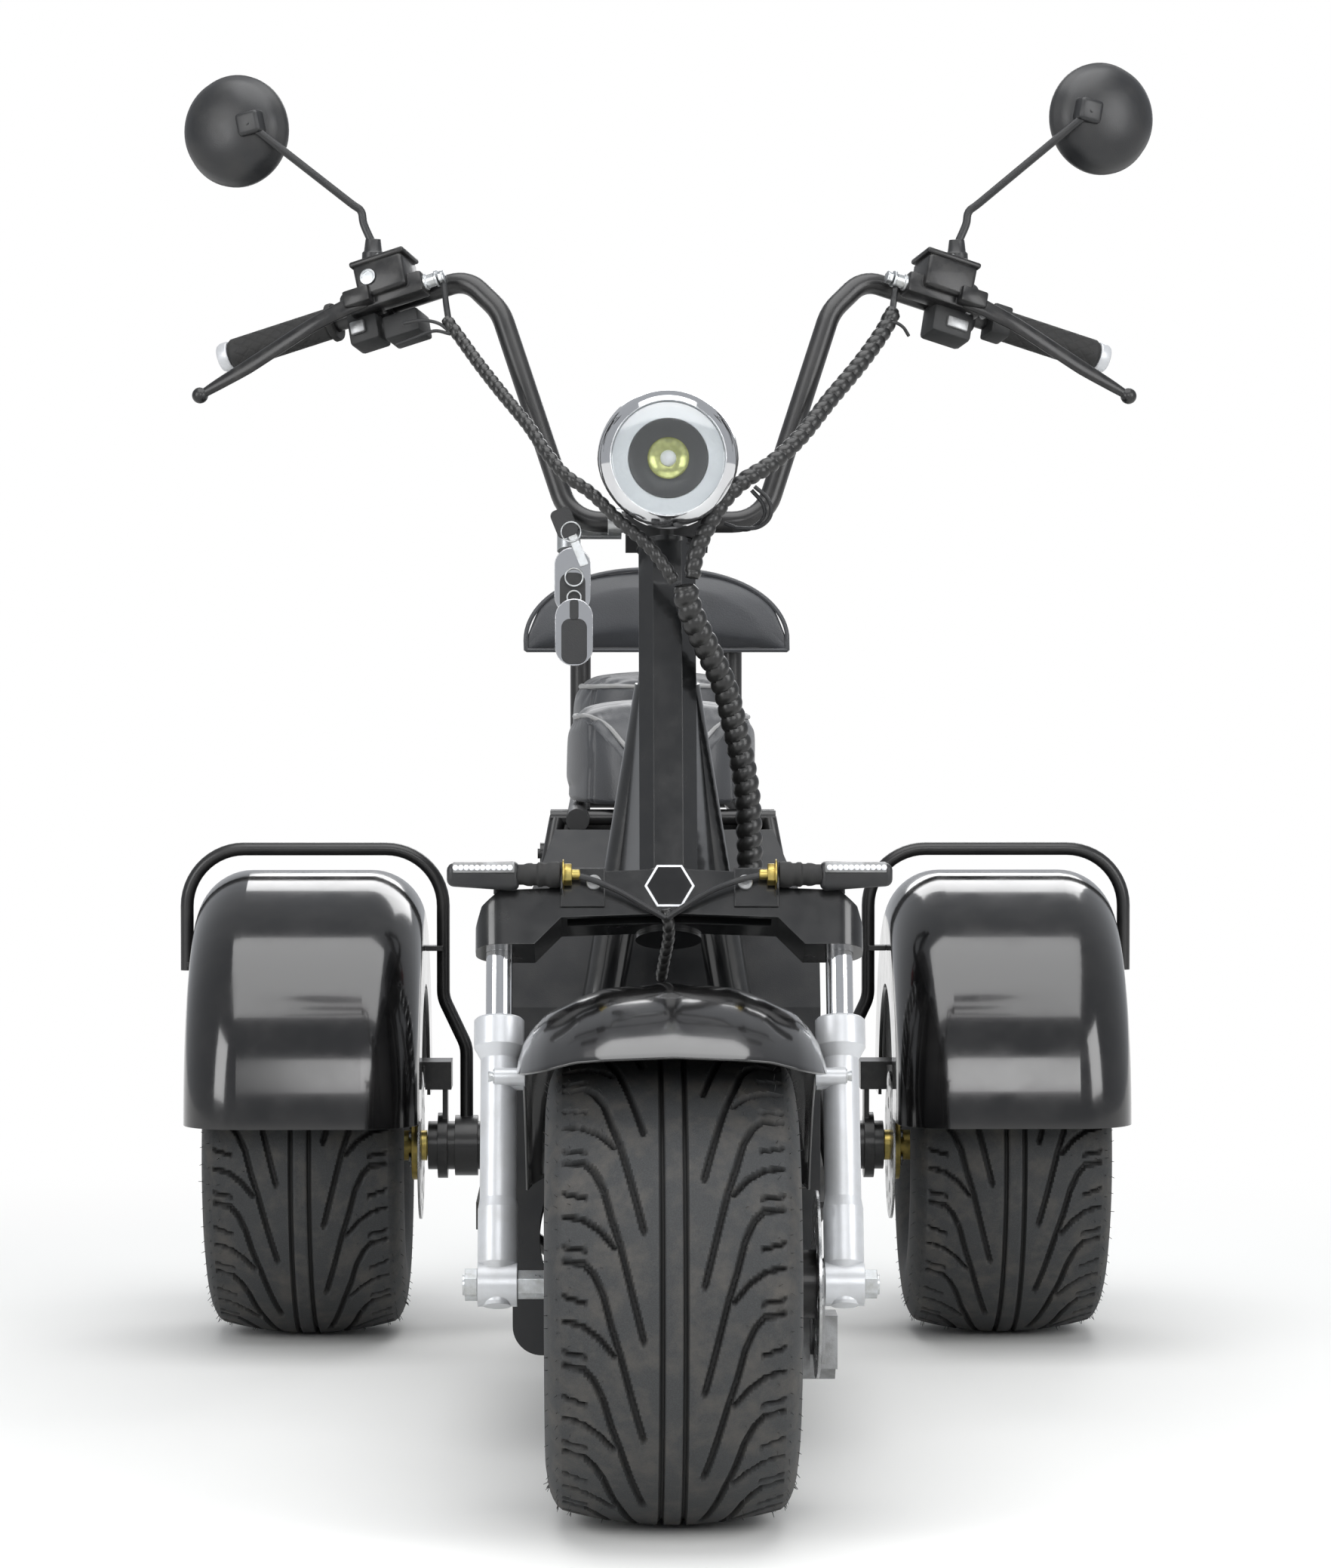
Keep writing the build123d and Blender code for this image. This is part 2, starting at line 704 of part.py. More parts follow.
def make_shocks():
    foot = Vector(shock_x, shock_foot_station, shock_foot_z)
    top = Vector(shock_x, shock_top_station, shock_top_z)
    length = (top - foot).length
    unit = Cylinder(8, length, align=(Align.CENTER, Align.CENTER, Align.MIN))
    unit = unit + Pos(0, 0, 34) * Cylinder(22, length - 90, align=(Align.CENTER, Align.CENTER, Align.MIN))
    unit = Plane(origin=foot, z_dir=top - foot, x_dir=(1, 0, 0)).location * unit
    for point in (foot, top):
        unit = unit + across(13, shock_x - 9, shock_x + 9, y=point.Y, z=point.Z)
    for point in (foot, top):
        unit = unit - across(shock_pin_radius + seat_gap, shock_x - 30, shock_x + 30, y=point.Y, z=point.Z)
    return both(unit)


# Rear fenders: shell section spun about a centre above the axle
fender_inner = 282
fender_outer = 560
fender_centre_rise = 48
fender_wall = 4
fender_corner = 66
fender_side_cut = 150


def fender_section(half, radius, corner):
    section = Pos(0, radius / 2) * Rectangle(half * 2, radius)
    return fillet(section.vertices().sort_by(Axis.Y)[-2:], corner)


def make_rear_fender():
    centre = tyre_radius + fender_centre_rise
    half = (fender_outer - fender_inner) / 2
    middle = (fender_outer + fender_inner) / 2
    shell = fender_section(half, fender_radius, fender_corner) - fender_section(
        half - fender_wall, fender_radius - fender_wall, fender_corner - fender_wall
    )
    solid = revolve(shell, axis=Axis.X, revolution_arc=180)
    solid = solid - across(fender_side_cut, -half - 1, half + 1)
    return Pos(middle, wheelbase, centre) * solid


# Guard bars: hoop over each fender, on a two-half clamp round the axle housing
guard_top = 592.5
guard_bar_radius = 8
guard_inner_x = 260.5
guard_outer_x = 574
guard_clamp_radius = 37
guard_clamp_half = 14


def make_guard_bar():
    points = [
        (clamp_x, wheelbase, 262), (clamp_x, wheelbase, 350), (guard_inner_x, wheelbase, 410),
        (guard_inner_x, wheelbase, guard_top), (guard_outer_x, wheelbase, guard_top),
        (guard_outer_x, wheelbase, 444),
    ]
    hoop = bar(guard_bar_radius, points, [40, 40, 70, 70])
    ring = across(guard_clamp_radius, clamp_x - guard_clamp_half, clamp_x + guard_clamp_half)
    ring = ring - across(housing_radius + seat_gap, clamp_x - 20, clamp_x + 20)
    inner_tab = block(guard_inner_x, fender_inner - seat_gap, wheelbase - 12, wheelbase + 12, 468, 474)
    outer_tab = block(fender_outer + seat_gap, guard_outer_x, wheelbase - 10, wheelbase + 10, 448, 454)
    return hoop + at_rear(ring) + inner_tab + outer_tab


def make_rear_caliper():
    body = Pos(rear_disc_x - 12, 0, 88) * Box(52, 60, 34)
    body = body - Pos(rear_disc_x, 0, 80) * Box(12, 80, 42)
    arm = block(255, 261, -20, 20, 20, 90)
    arm = arm + across(40, 255, 267) - across(housing_radius + seat_gap, 250, 275)
    return at_rear(body + arm)


def make_tail_lamp():
    return rounded_block(-55, 55, 1182.3, 1212, 598, 634, 8)


def make_ignition_key():
    clip = across(15, -60, -46, z=bar_height)
    barrel = upright(12, bar_height - 20, bar_height + 20, x=-100, y=30)
    solid = clip + barrel + block(-100, -46, 20, 28, bar_height - 8, bar_height + 8)
    solid = solid + block(-60, -46, 0, 26, bar_height - 8, bar_height + 8)
    return solid - across(bar_radius + seat_gap, -70, -40, z=bar_height)


# Pieces by name, in stations from the front axle
pieces = {
    "front_tyre": front_tyre,
    "front_rim": front_rim,
    "front_disc": front_disc,
    "front_axle": make_front_axle(),
    "fork_lowers": fork(both(make_fork_lower())),
    "stanchions": fork(both(upright(stanchion_radius, bore_floor + 20, crown_shoulder - 13, x=leg_x, y=-fork_offset))),
    "fork_crown": fork(make_fork_crown()),
    "front_mudguard": make_front_mudguard(),
    "handlebar": fork(make_handlebar()),
    "bar_clamp": fork(make_bar_clamp()),
    "grips": fork(both(make_grip())),
    "brake_levers": fork(both(make_lever())),
    "master_cylinders": fork(both(make_master_cylinder())),
    "switch_pods": fork(both(make_switch_pod())),
    "mirrors": both(make_mirror()),
    "headlight_shell": fork(make_headlight()),
    "headlight_lens": fork(make_headlight_lens()),
    "front_signals": fork(both(make_front_signal() + make_signal_plate())),
    "front_caliper": make_front_caliper(),
    "ignition_key": fork(make_ignition_key()),
    "main_frame": make_main_frame(),
    "seat_frame": make_seat_frame(),
    "front_shield": make_shield(),
    "battery_case": make_battery_case(),
    "footboards": make_footboards(),
    "body_shell": make_body_shell(),
    "saddle": make_saddle(),
    "pillion": make_pillion(),
    "backrest": make_backrest(),
    "axle_housing": make_axle_housing(),
    "drive_motor": make_drive_motor(),
    "swing_arm": make_swing_arm(),
    "shock_absorbers": make_shocks(),
    "rear_fenders": both(make_rear_fender()),
    "guard_bars": both(make_guard_bar()),
    "rear_calipers": both(make_rear_caliper()),
    "tail_lamp": make_tail_lamp(),
}
for name, shape in rear_wheel_pieces.items():
    pieces[name + "_left"] = at_rear(shape)
    pieces[name + "_right"] = at_rear(mirror(shape, about=Plane.YZ))

os.makedirs("parts", exist_ok=True)
for name, shape in pieces.items():
    export_step(Pos(0, front_station, 0) * shape, f"parts/{name}.step")
print("pieces", len(pieces))
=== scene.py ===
import math
import random

import bmesh
import bpy
import numpy as np
from mathutils import Matrix, Vector
from mathutils.bvhtree import BVHTree


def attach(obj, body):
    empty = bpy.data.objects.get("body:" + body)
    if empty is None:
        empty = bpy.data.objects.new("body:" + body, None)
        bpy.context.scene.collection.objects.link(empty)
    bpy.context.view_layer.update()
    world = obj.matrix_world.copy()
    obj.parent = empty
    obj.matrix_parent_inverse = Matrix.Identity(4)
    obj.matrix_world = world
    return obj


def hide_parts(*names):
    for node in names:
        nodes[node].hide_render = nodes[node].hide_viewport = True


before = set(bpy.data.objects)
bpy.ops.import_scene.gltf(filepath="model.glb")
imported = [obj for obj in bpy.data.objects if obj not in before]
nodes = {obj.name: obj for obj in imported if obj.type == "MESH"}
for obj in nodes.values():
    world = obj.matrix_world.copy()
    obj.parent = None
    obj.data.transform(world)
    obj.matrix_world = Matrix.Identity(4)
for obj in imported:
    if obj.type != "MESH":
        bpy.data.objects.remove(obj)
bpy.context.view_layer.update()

frontAxleY = -0.68075
rearAxleY = frontAxleY + 1.3
axleHeight = 0.2285
rake = math.radians(20)
forkAxes = Matrix.Translation((0, frontAxleY + 0.04229, 0.21311)) @ Matrix.Rotation(-rake, 4, "X")
forkTurn = forkAxes.to_3x3()


def atStation(x, station, z):
    return Vector((x, frontAxleY + station, z))


def onFork(x, y, z):
    return forkAxes @ Vector((x, y, z))


# The photograph's camera, fitted to measured places; vanishX and levelY are the pixels of its level sight line
photograph = dict(height=2078, focalPixels=6427, cameraX=-0.0667, cameraStation=-4.64, cameraHeight=0.842,
                  yawDeg=0.758, pitchDeg=-1.64, vanishX=797, levelY=855)


# Colours and shader nodes

materials = {}


def toLinear(hexColour):
    channels = [int(hexColour[i:i + 2], 16) / 255 for i in (1, 3, 5)]
    return (*(c / 12.92 if c <= 0.04045 else ((c + 0.055) / 1.055) ** 2.4 for c in channels), 1.0)


def addNode(tree, kind, inputs=None, **settings):
    # inputs: socket name or index to a value, or to an output socket that is linked to it
    node = tree.nodes.new(kind)
    for name, value in settings.items():
        setattr(node, name, value)
    for name, value in (inputs or {}).items():
        if isinstance(value, bpy.types.NodeSocket):
            tree.links.new(value, node.inputs[name])
        else:
            node.inputs[name].default_value = value
    return node


def startMaterial(name):
    # An empty material, and the place on the object that its patterns are laid on
    material = bpy.data.materials.new(name)
    material.use_nodes = True
    material.node_tree.nodes.clear()
    materials[name] = material
    return material.node_tree, addNode(material.node_tree, "ShaderNodeTexCoord").outputs["Object"]


def mixColours(tree, factor, first, second):
    return addNode(tree, "ShaderNodeMix", {0: factor, 6: first, 7: second}, data_type="RGBA").outputs[2]


def finishSurface(tree, shaderInputs):
    shader = addNode(tree, "ShaderNodeBsdfPrincipled", shaderInputs)
    addNode(tree, "ShaderNodeOutputMaterial", {"Surface": shader.outputs[0]})


# Hard finishes: colour, second colour of the dust or wear, its share, roughness range, metal, clear coat,
# size in metres of the dust patches and of the fine grain, and the grain's depth in metres
finishes = {
    # deep wet black with sharp highlights and a faint dust film: fenders and mudguard
    "glossPaint": dict(colour="#0a0a0b", worn="#2a2826", share=0.10, rough=(0.10, 0.22), coat=0.6,
                       patch=0.05, grain=0.002, depth=0.00002),
    # soft black with broad highlights and a fine orange peel: bars, rails and guards
    "powderCoat": dict(colour="#141415", worn="#3a3733", share=0.08, rough=(0.3, 0.42), coat=0.1,
                       patch=0.04, grain=0.0012, depth=0.00005),
    # semi-gloss black that shows the facets of the neck and the crown
    "crownPaint": dict(colour="#101112", worn="#34322f", share=0.05, rough=(0.18, 0.28), coat=0.4,
                       patch=0.03, grain=0.0016, depth=0.00003),
    # pale silver with a soft sheen and slightly darker patches: the fork's lowers
    "silverPaint": dict(colour="#c2c4c7", worn="#9b9a96", share=0.15, rough=(0.32, 0.42), metal=0.35,
                        patch=0.03, grain=0.001, depth=0.00005),
    # clear mirror reflections with a breath of haze: lamp, stanchions, springs and mirror glass
    "chromePlate": dict(colour="#dcdddf", worn="#a9a8a6", share=0.06, rough=(0.04, 0.1), metal=1.0,
                        patch=0.03, grain=0.004, depth=0.00001),
    # bright fasteners with small dull spots
    "brightZinc": dict(colour="#c3c6c8", worn="#8f8d86", share=0.3, rough=(0.25, 0.42), metal=1.0,
                       patch=0.012, grain=0.001, depth=0.00005),
    # warm greenish gold of passivated nuts and hubs
    "yellowZinc": dict(colour="#c2ab62", worn="#8f8a58", share=0.45, rough=(0.28, 0.42), metal=1.0,
                       patch=0.012, grain=0.001, depth=0.00005),
    # dull grey metal with a sandy skin: motor block and caliper
    "castAlloy": dict(colour="#9a9b9c", worn="#6d6c69", share=0.3, rough=(0.38, 0.55), metal=0.9,
                      patch=0.02, grain=0.0014, depth=0.0002),
    # black spokes with road dust in the corners
    "rimPaint": dict(colour="#161617", worn="#3b3834", share=0.22, rough=(0.3, 0.45), coat=0.15,
                     patch=0.03, grain=0.0015, depth=0.0001),
    # ground steel with faint tarnish
    "discSteel": dict(colour="#a7a8a9", worn="#7c7b78", share=0.35, rough=(0.2, 0.36), metal=1.0,
                      patch=0.02, grain=0.001, depth=0.00003),
    # matt black mouldings with a fine grain: switch housings
    "mattePlastic": dict(colour="#191a1b", worn="#2e2d2b", share=0.15, rough=(0.5, 0.66),
                         patch=0.02, grain=0.0009, depth=0.0002),
    # smoother black mouldings: mirrors, front panel, signals and thin wires
    "satinPlastic": dict(colour="#1b1c1e", worn="#33322f", share=0.15, rough=(0.34, 0.48),
                         patch=0.03, grain=0.0012, depth=0.0001),
    # anodised black metal, paler where it is rubbed: levers, cylinders and clamps
    "blackAlloy": dict(colour="#151516", worn="#4a4946", share=0.12, rough=(0.3, 0.42), metal=0.2, coat=0.1,
                       patch=0.015, grain=0.001, depth=0.00008),
    # dry black rubber of the grips and the signals' boots
    "gripRubber": dict(colour="#161616", worn="#2b2a28", share=0.2, rough=(0.6, 0.75),
                       patch=0.012, grain=0.001, depth=0.0002),
    # dusty ribbed mat of the footboards
    "deckRubber": dict(colour="#1d1d1d", worn="#45413b", share=0.35, rough=(0.65, 0.8),
                       patch=0.05, grain=0.002, depth=0.0002),
    # clean white of the lamp's ring, the LED cells and the badge's edge
    "whiteEnamel": dict(colour="#e9ebee", worn="#cfd2d6", share=0.15, rough=(0.25, 0.35), coat=0.2,
                        patch=0.01, grain=0.002, depth=0.00002),
    # deep red moulded lens of the tail lamp
    "redLens": dict(colour="#8c0f12", worn="#6c0a0d", share=0.2, rough=(0.1, 0.18), coat=0.5,
                    patch=0.01, grain=0.004, depth=0.00004),
}
edgeRounding = 0.0012


def makeFinish(name, spec):
    tree, place = startMaterial(name)
    patches = addNode(tree, "ShaderNodeTexNoise", {"Vector": place, "Scale": 1 / spec["patch"], "Detail": 5.0,
                                                   "Roughness": 0.6})
    spread = addNode(tree, "ShaderNodeMapRange", {"Value": patches.outputs[0], "From Min": 0.42, "From Max": 0.78,
                                                  "To Max": min(1.0, spec["share"] * 2.4)})
    colour = mixColours(tree, spread.outputs[0], toLinear(spec["colour"]), toLinear(spec["worn"]))
    rough = addNode(tree, "ShaderNodeMapRange", {"Value": patches.outputs[0], "From Min": 0.3, "From Max": 0.7,
                                                 "To Min": spec["rough"][0], "To Max": spec["rough"][1]})
    fine = addNode(tree, "ShaderNodeTexNoise", {"Vector": place, "Scale": 1 / spec["grain"], "Detail": 2.0})
    rounded = addNode(tree, "ShaderNodeBevel", {"Radius": edgeRounding}, samples=4)
    bump = addNode(tree, "ShaderNodeBump", {"Height": fine.outputs[0], "Distance": spec["depth"], "Strength": 1.0,
                                            "Normal": rounded.outputs[0]})
    finishSurface(tree, {"Base Color": colour, "Metallic": spec.get("metal", 0.0), "Roughness": rough.outputs[0],
                         "Coat Weight": spec.get("coat", 0.0), "Coat Roughness": 0.08, "Normal": bump.outputs[0]})


for finishName, finishSpec in finishes.items():
    makeFinish(finishName, finishSpec)


def makeTyreRubber():
    # Dusty moulded rubber: brownish dust in patches, scuffed grit, and painted shade that darkens the floors of the
    # grooves
    # deep is the near-black of the painted shade laid on the groove floors
    rubber = dict(colour="#292a2b", dust="#45423e", scuff="#343637", deep="#0d0d0d", dustSize=0.035, grit=0.0011)
    tree, place = startMaterial("tyreRubber")
    depth = addNode(tree, "ShaderNodeAttribute", attribute_name="depth").outputs["Fac"]
    patches = addNode(tree, "ShaderNodeTexNoise", {"Vector": place, "Scale": 1 / rubber["dustSize"], "Detail": 7.0,
                                                   "Roughness": 0.65})
    grit = addNode(tree, "ShaderNodeTexNoise", {"Vector": place, "Scale": 1 / rubber["grit"], "Detail": 3.0})
    dusty = addNode(tree, "ShaderNodeMapRange", {"Value": patches.outputs[0], "From Min": 0.46, "From Max": 0.72})
    scuffed = addNode(tree, "ShaderNodeMapRange", {"Value": grit.outputs[0], "From Min": 0.4, "From Max": 0.7})
    colour = mixColours(tree, scuffed.outputs[0], toLinear(rubber["colour"]), toLinear(rubber["scuff"]))
    colour = mixColours(tree, dusty.outputs[0], colour, toLinear(rubber["dust"]))
    # painted shade: the colour goes towards near-black as the groove gets deeper
    colour = mixColours(tree, depth, colour, toLinear(rubber["deep"]))
    bump = addNode(tree, "ShaderNodeBump", {"Height": grit.outputs[0], "Distance": 0.0003})
    finishSurface(tree, {"Base Color": colour, "Roughness": 0.72, "Normal": bump.outputs[0]})


def makeVinyl():
    # Charcoal seat vinyl: leather grain of 1.5 mm cells, soft sheen, paler where it is stretched
    vinyl = dict(colour="#2a2b2d", pale="#3a3c40", cell=0.0016, depth=0.00018)
    tree, place = startMaterial("seatVinyl")
    cells = addNode(tree, "ShaderNodeTexVoronoi", {"Vector": place, "Scale": 1 / vinyl["cell"]},
                    feature="SMOOTH_F1")
    patches = addNode(tree, "ShaderNodeTexNoise", {"Vector": place, "Scale": 18.0, "Detail": 5.0})
    colour = mixColours(tree, patches.outputs[0], toLinear(vinyl["colour"]), toLinear(vinyl["pale"]))
    bump = addNode(tree, "ShaderNodeBump", {"Height": cells.outputs[0], "Distance": vinyl["depth"],
                                            "Strength": 0.8}, invert=True)
    finishSurface(tree, {"Base Color": colour, "Roughness": 0.42, "Sheen Weight": 0.15,
                         "Normal": bump.outputs[0]})


def makeMottled(name, first, second, scale, detail, rough):
    # A smooth moulded surface whose colour drifts softly between two shades
    tree, place = startMaterial(name)
    noise = addNode(tree, "ShaderNodeTexNoise", {"Vector": place, "Scale": scale, "Detail": detail})
    colour = mixColours(tree, noise.outputs[0], toLinear(first), toLinear(second))
    finishSurface(tree, {"Base Color": colour, "Roughness": rough})


def makeClearLens():
    # Clear moulded polycarbonate, IOR 1.58, that shows the dark dish behind it with a thin bright edge
    tree, _ = startMaterial("clearLens")
    finishSurface(tree, {"Base Color": toLinear("#f2f5f6"), "Roughness": 0.04, "IOR": 1.58,
                         "Transmission Weight": 1.0})


def makeLedPhosphor():
    # Yellow phosphor facets that give the lamp its greenish gold middle
    tree, place = startMaterial("ledReflector")
    cells = addNode(tree, "ShaderNodeTexVoronoi", {"Vector": place, "Scale": 190.0})
    colour = mixColours(tree, cells.outputs[0], toLinear("#cfd08a"), toLinear("#8f9450"))
    finishSurface(tree, {"Base Color": colour, "Metallic": 0.6, "Roughness": 0.25})


makeTyreRubber()
makeVinyl()
# pale extruded piping, slightly yellowed
makeMottled("palePiping", "#8f9092", "#7b7a77", 90.0, 2.0, 0.45)
# glossy nylon band wound round the looms
makeMottled("spiralSleeve", "#101011", "#232322", 60.0, 4.0, 0.33)
makeClearLens()
makeLedPhosphor()
print("materials", len(materials))


# Building pieces

def addPiece(name, bm, body, material, replaced=(), sharpAngle=35, turned=True):
    mesh = bpy.data.meshes.new(name)
    if turned:
        bmesh.ops.recalc_face_normals(bm, faces=bm.faces)
    bm.to_mesh(mesh)
    bm.free()
    mesh.shade_smooth()
    mesh.set_sharp_from_angle(angle=math.radians(sharpAngle))
    mesh.materials.append(materials[material])
    piece = bpy.data.objects.new(name, mesh)
    bpy.context.scene.collection.objects.link(piece)
    if replaced:
        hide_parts(*replaced)
    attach(piece, body)
    return piece


def turnOutline(bm, outline, matrix, steps=48):
    # outline: (height along Z, radius) pairs, spun about Z and then placed
    verts = [bm.verts.new((radius, 0, height)) for height, radius in outline]
    edges = [bm.edges.new(pair) for pair in zip(verts, verts[1:])]
    spun = bmesh.ops.spin(bm, geom=verts + edges, cent=(0, 0, 0), axis=(0, 0, 1), dvec=(0, 0, 0),
                          angle=math.tau, steps=steps, use_merge=True, use_duplicate=False)
    fresh = {v for v in spun["geom_last"] if isinstance(v, bmesh.types.BMVert)} | set(verts)
    island = set(fresh)
    stack = list(fresh)
    while stack:
        for edge in stack.pop().link_edges:
            for vert in edge.verts:
                if vert not in island:
                    island.add(vert)
                    stack.append(vert)
    island = list(island)
    bmesh.ops.transform(bm, matrix=matrix, verts=island)
    bmesh.ops.remove_doubles(bm, verts=island, dist=1e-6)


def pointing(place, direction):
    # Matrix that puts a piece drawn along Z at a place, along a direction
    return Matrix.Translation(place) @ Vector(direction).to_track_quat("Z", "Y").to_matrix().to_4x4()


def addHexHead(bm, place, direction, across, height, washer=True):
    matrix = pointing(place, direction)
    if washer:
        turnOutline(bm, [(0, 0.0), (0, across * 0.78), (0.0012, across * 0.78), (0.0012, 0.0)], matrix, 28)
    made = bmesh.ops.create_cone(bm, cap_ends=True, segments=6, radius1=across / 1.732, radius2=across / 1.732,
                                 depth=height, matrix=matrix @ Matrix.Translation((0, 0, height / 2 + 0.001)))
    top = [e for v in made["verts"] for e in v.link_edges]
    bmesh.ops.bevel(bm, geom=list(set(top)), offset=across * 0.06, segments=2, profile=0.5, affect="EDGES",
                    material=-1)


def addCapScrew(bm, place, direction, radius, height):
    matrix = pointing(place, direction)
    turnOutline(bm, [(0, 0.0), (0, radius), (height * 0.85, radius), (height, radius * 0.86), (height, radius * 0.5),
                     (height * 0.45, radius * 0.48), (height * 0.45, 0.0)], matrix, 20)


def bridgeRings(bm, rings, closed=False):
    for first, second in list(zip(rings, rings[1:])) + ([(rings[-1], rings[0])] if closed else []):
        edges = {e for v in first + second for e in v.link_edges
                 if set(e.verts) <= set(first) or set(e.verts) <= set(second)}
        bmesh.ops.bridge_loops(bm, edges=list(edges))
    if not closed:
        for ring in (rings[0], rings[-1]):
            bmesh.ops.contextual_create(bm, geom=ring)


def tube(bm, points, radius, rings=12, closed=False):
    # Sweeps a ring along the points
    count = len(points)
    made = []
    for index, point in enumerate(points):
        ahead = points[(index + 1) % count] if closed or index + 1 < count else point
        behind = points[index - 1] if closed or index > 0 else point
        direction = (ahead - behind).normalized()
        ring = bmesh.ops.create_circle(bm, cap_ends=False, segments=rings, radius=radius)["verts"]
        side = Vector((0, 0, 1)).cross(direction)
        if side.length < 0.05:
            side = Vector((1, 0, 0))
        side.normalize()
        turned = Matrix((side, direction.cross(side), direction)).transposed().to_4x4()
        bmesh.ops.transform(bm, matrix=Matrix.Translation(point) @ turned, verts=ring)
        made.append(ring)
    bridgeRings(bm, made, closed)


def smoothPath(points, steps=8):
    # Catmull-Rom points through a given path
    points = [Vector(p) for p in points]
    padded = [2 * points[0] - points[1], *points, 2 * points[-1] - points[-2]]
    path = []
    for a, b, c, d in zip(padded, padded[1:], padded[2:], padded[3:]):
        for step in range(steps):
            t = step / steps
            path.append(0.5 * (2 * b + (c - a) * t + (2 * a - 5 * b + 4 * c - d) * t * t
                               + (3 * b - a - 3 * c + d) * t ** 3))
    return path + [points[-1]]


# Finishes of the nodes that keep their own shape
nodeFinishes = {
    "rimPaint": ("front_rim", "rear_rim_left", "rear_rim_right"),
    "discSteel": ("front_disc", "rear_disc_left", "rear_disc_right"),
    "brightZinc": ("front_axle", "ignition_key"),
    "yellowZinc": ("rear_hub_left", "rear_hub_right"),
    "silverPaint": ("fork_lowers",),
    "chromePlate": ("stanchions",),
    "crownPaint": ("fork_crown", "main_frame"),
    "powderCoat": ("handlebar", "bar_clamp", "seat_frame", "battery_case", "axle_housing", "swing_arm", "guard_bars"),
    "satinPlastic": ("front_shield", "body_shell"),
    "deckRubber": ("footboards",),
    "castAlloy": ("front_caliper", "drive_motor"),
    "blackAlloy": ("shock_absorbers", "rear_calipers"),
    "glossPaint": ("rear_fenders",),
    "redLens": ("tail_lamp",),
}
for finish, nodeNames in nodeFinishes.items():
    for nodeName in nodeNames:
        nodeMesh = nodes[nodeName].data
        nodeMesh.materials.clear()
        nodeMesh.materials.append(materials[finish])


# Tyres with moulded tread

# Section in metres; around, across and wall are the mesh's steps; pitches is the tread's repeats
tyreShape = dict(beadHalf=0.088, beadRadius=0.1016, chaferRadius=0.1166, shoulder=0.113, shoulderRadius=0.203,
                 treadHalf=0.104, treadEdge=0.214, crownRadius=0.2285, around=448, across=132, wall=11, pitches=14,
                 grooveDepth=0.0058, grooveEdge=0.9, middleEdge=0.7)
# Tread grooves in one pitch: distance from the middle in mm and angle in degrees, then half width in mm
treadGrooves = [
    ([(106, 0.2), (95, 0.0), (83, -0.4), (74, -3.0), (65, -8.0), (57.5, -15.5), (49, -22.6), (39, -33),
      (28, -44.4)], 2.6),
    ([(106, -14.4), (95, -14.6), (82.7, -15.6), (68, -18.4), (54.7, -22.6)], 2.1),
    ([(106, -8.0), (100, -8.4), (81, -10.0)], 1.5),
    ([(106, -21.8), (100, -22.1), (81, -23.0)], 1.5),
]
middleGroove = dict(offset=10.6, half=2.2)


def grooveDepthAt(across, angle):
    # across in mm and angle in degrees as arrays; 0 on the tread's face, 1 at a groove's floor
    pitch = 360 / tyreShape["pitches"]
    arc = math.radians(1) * 224  # mm along the tread for one degree
    deepest = np.zeros_like(across)
    for sign in (1, -1):
        place = np.mod(angle - (0 if sign > 0 else pitch / 2), pitch)
        for points, half in treadGrooves:
            for turn in (-1, 0, 1, 2):
                for (x0, a0), (x1, a1) in zip(points, points[1:]):
                    px, py = across * sign - x0, (place - a0 - turn * pitch) * arc
                    dx, dy = x1 - x0, (a1 - a0) * arc
                    t = np.clip((px * dx + py * dy) / (dx * dx + dy * dy), 0, 1)
                    away = np.hypot(px - t * dx, py - t * dy)
                    deepest = np.maximum(deepest, np.clip((half + tyreShape["grooveEdge"] - away) / 1.4, 0, 1))
    for middle in (-middleGroove["offset"], middleGroove["offset"]):
        away = np.abs(across - middle)
        deepest = np.maximum(deepest, np.clip((middleGroove["half"] + tyreShape["middleEdge"] - away) / 1.2, 0, 1))
    return deepest


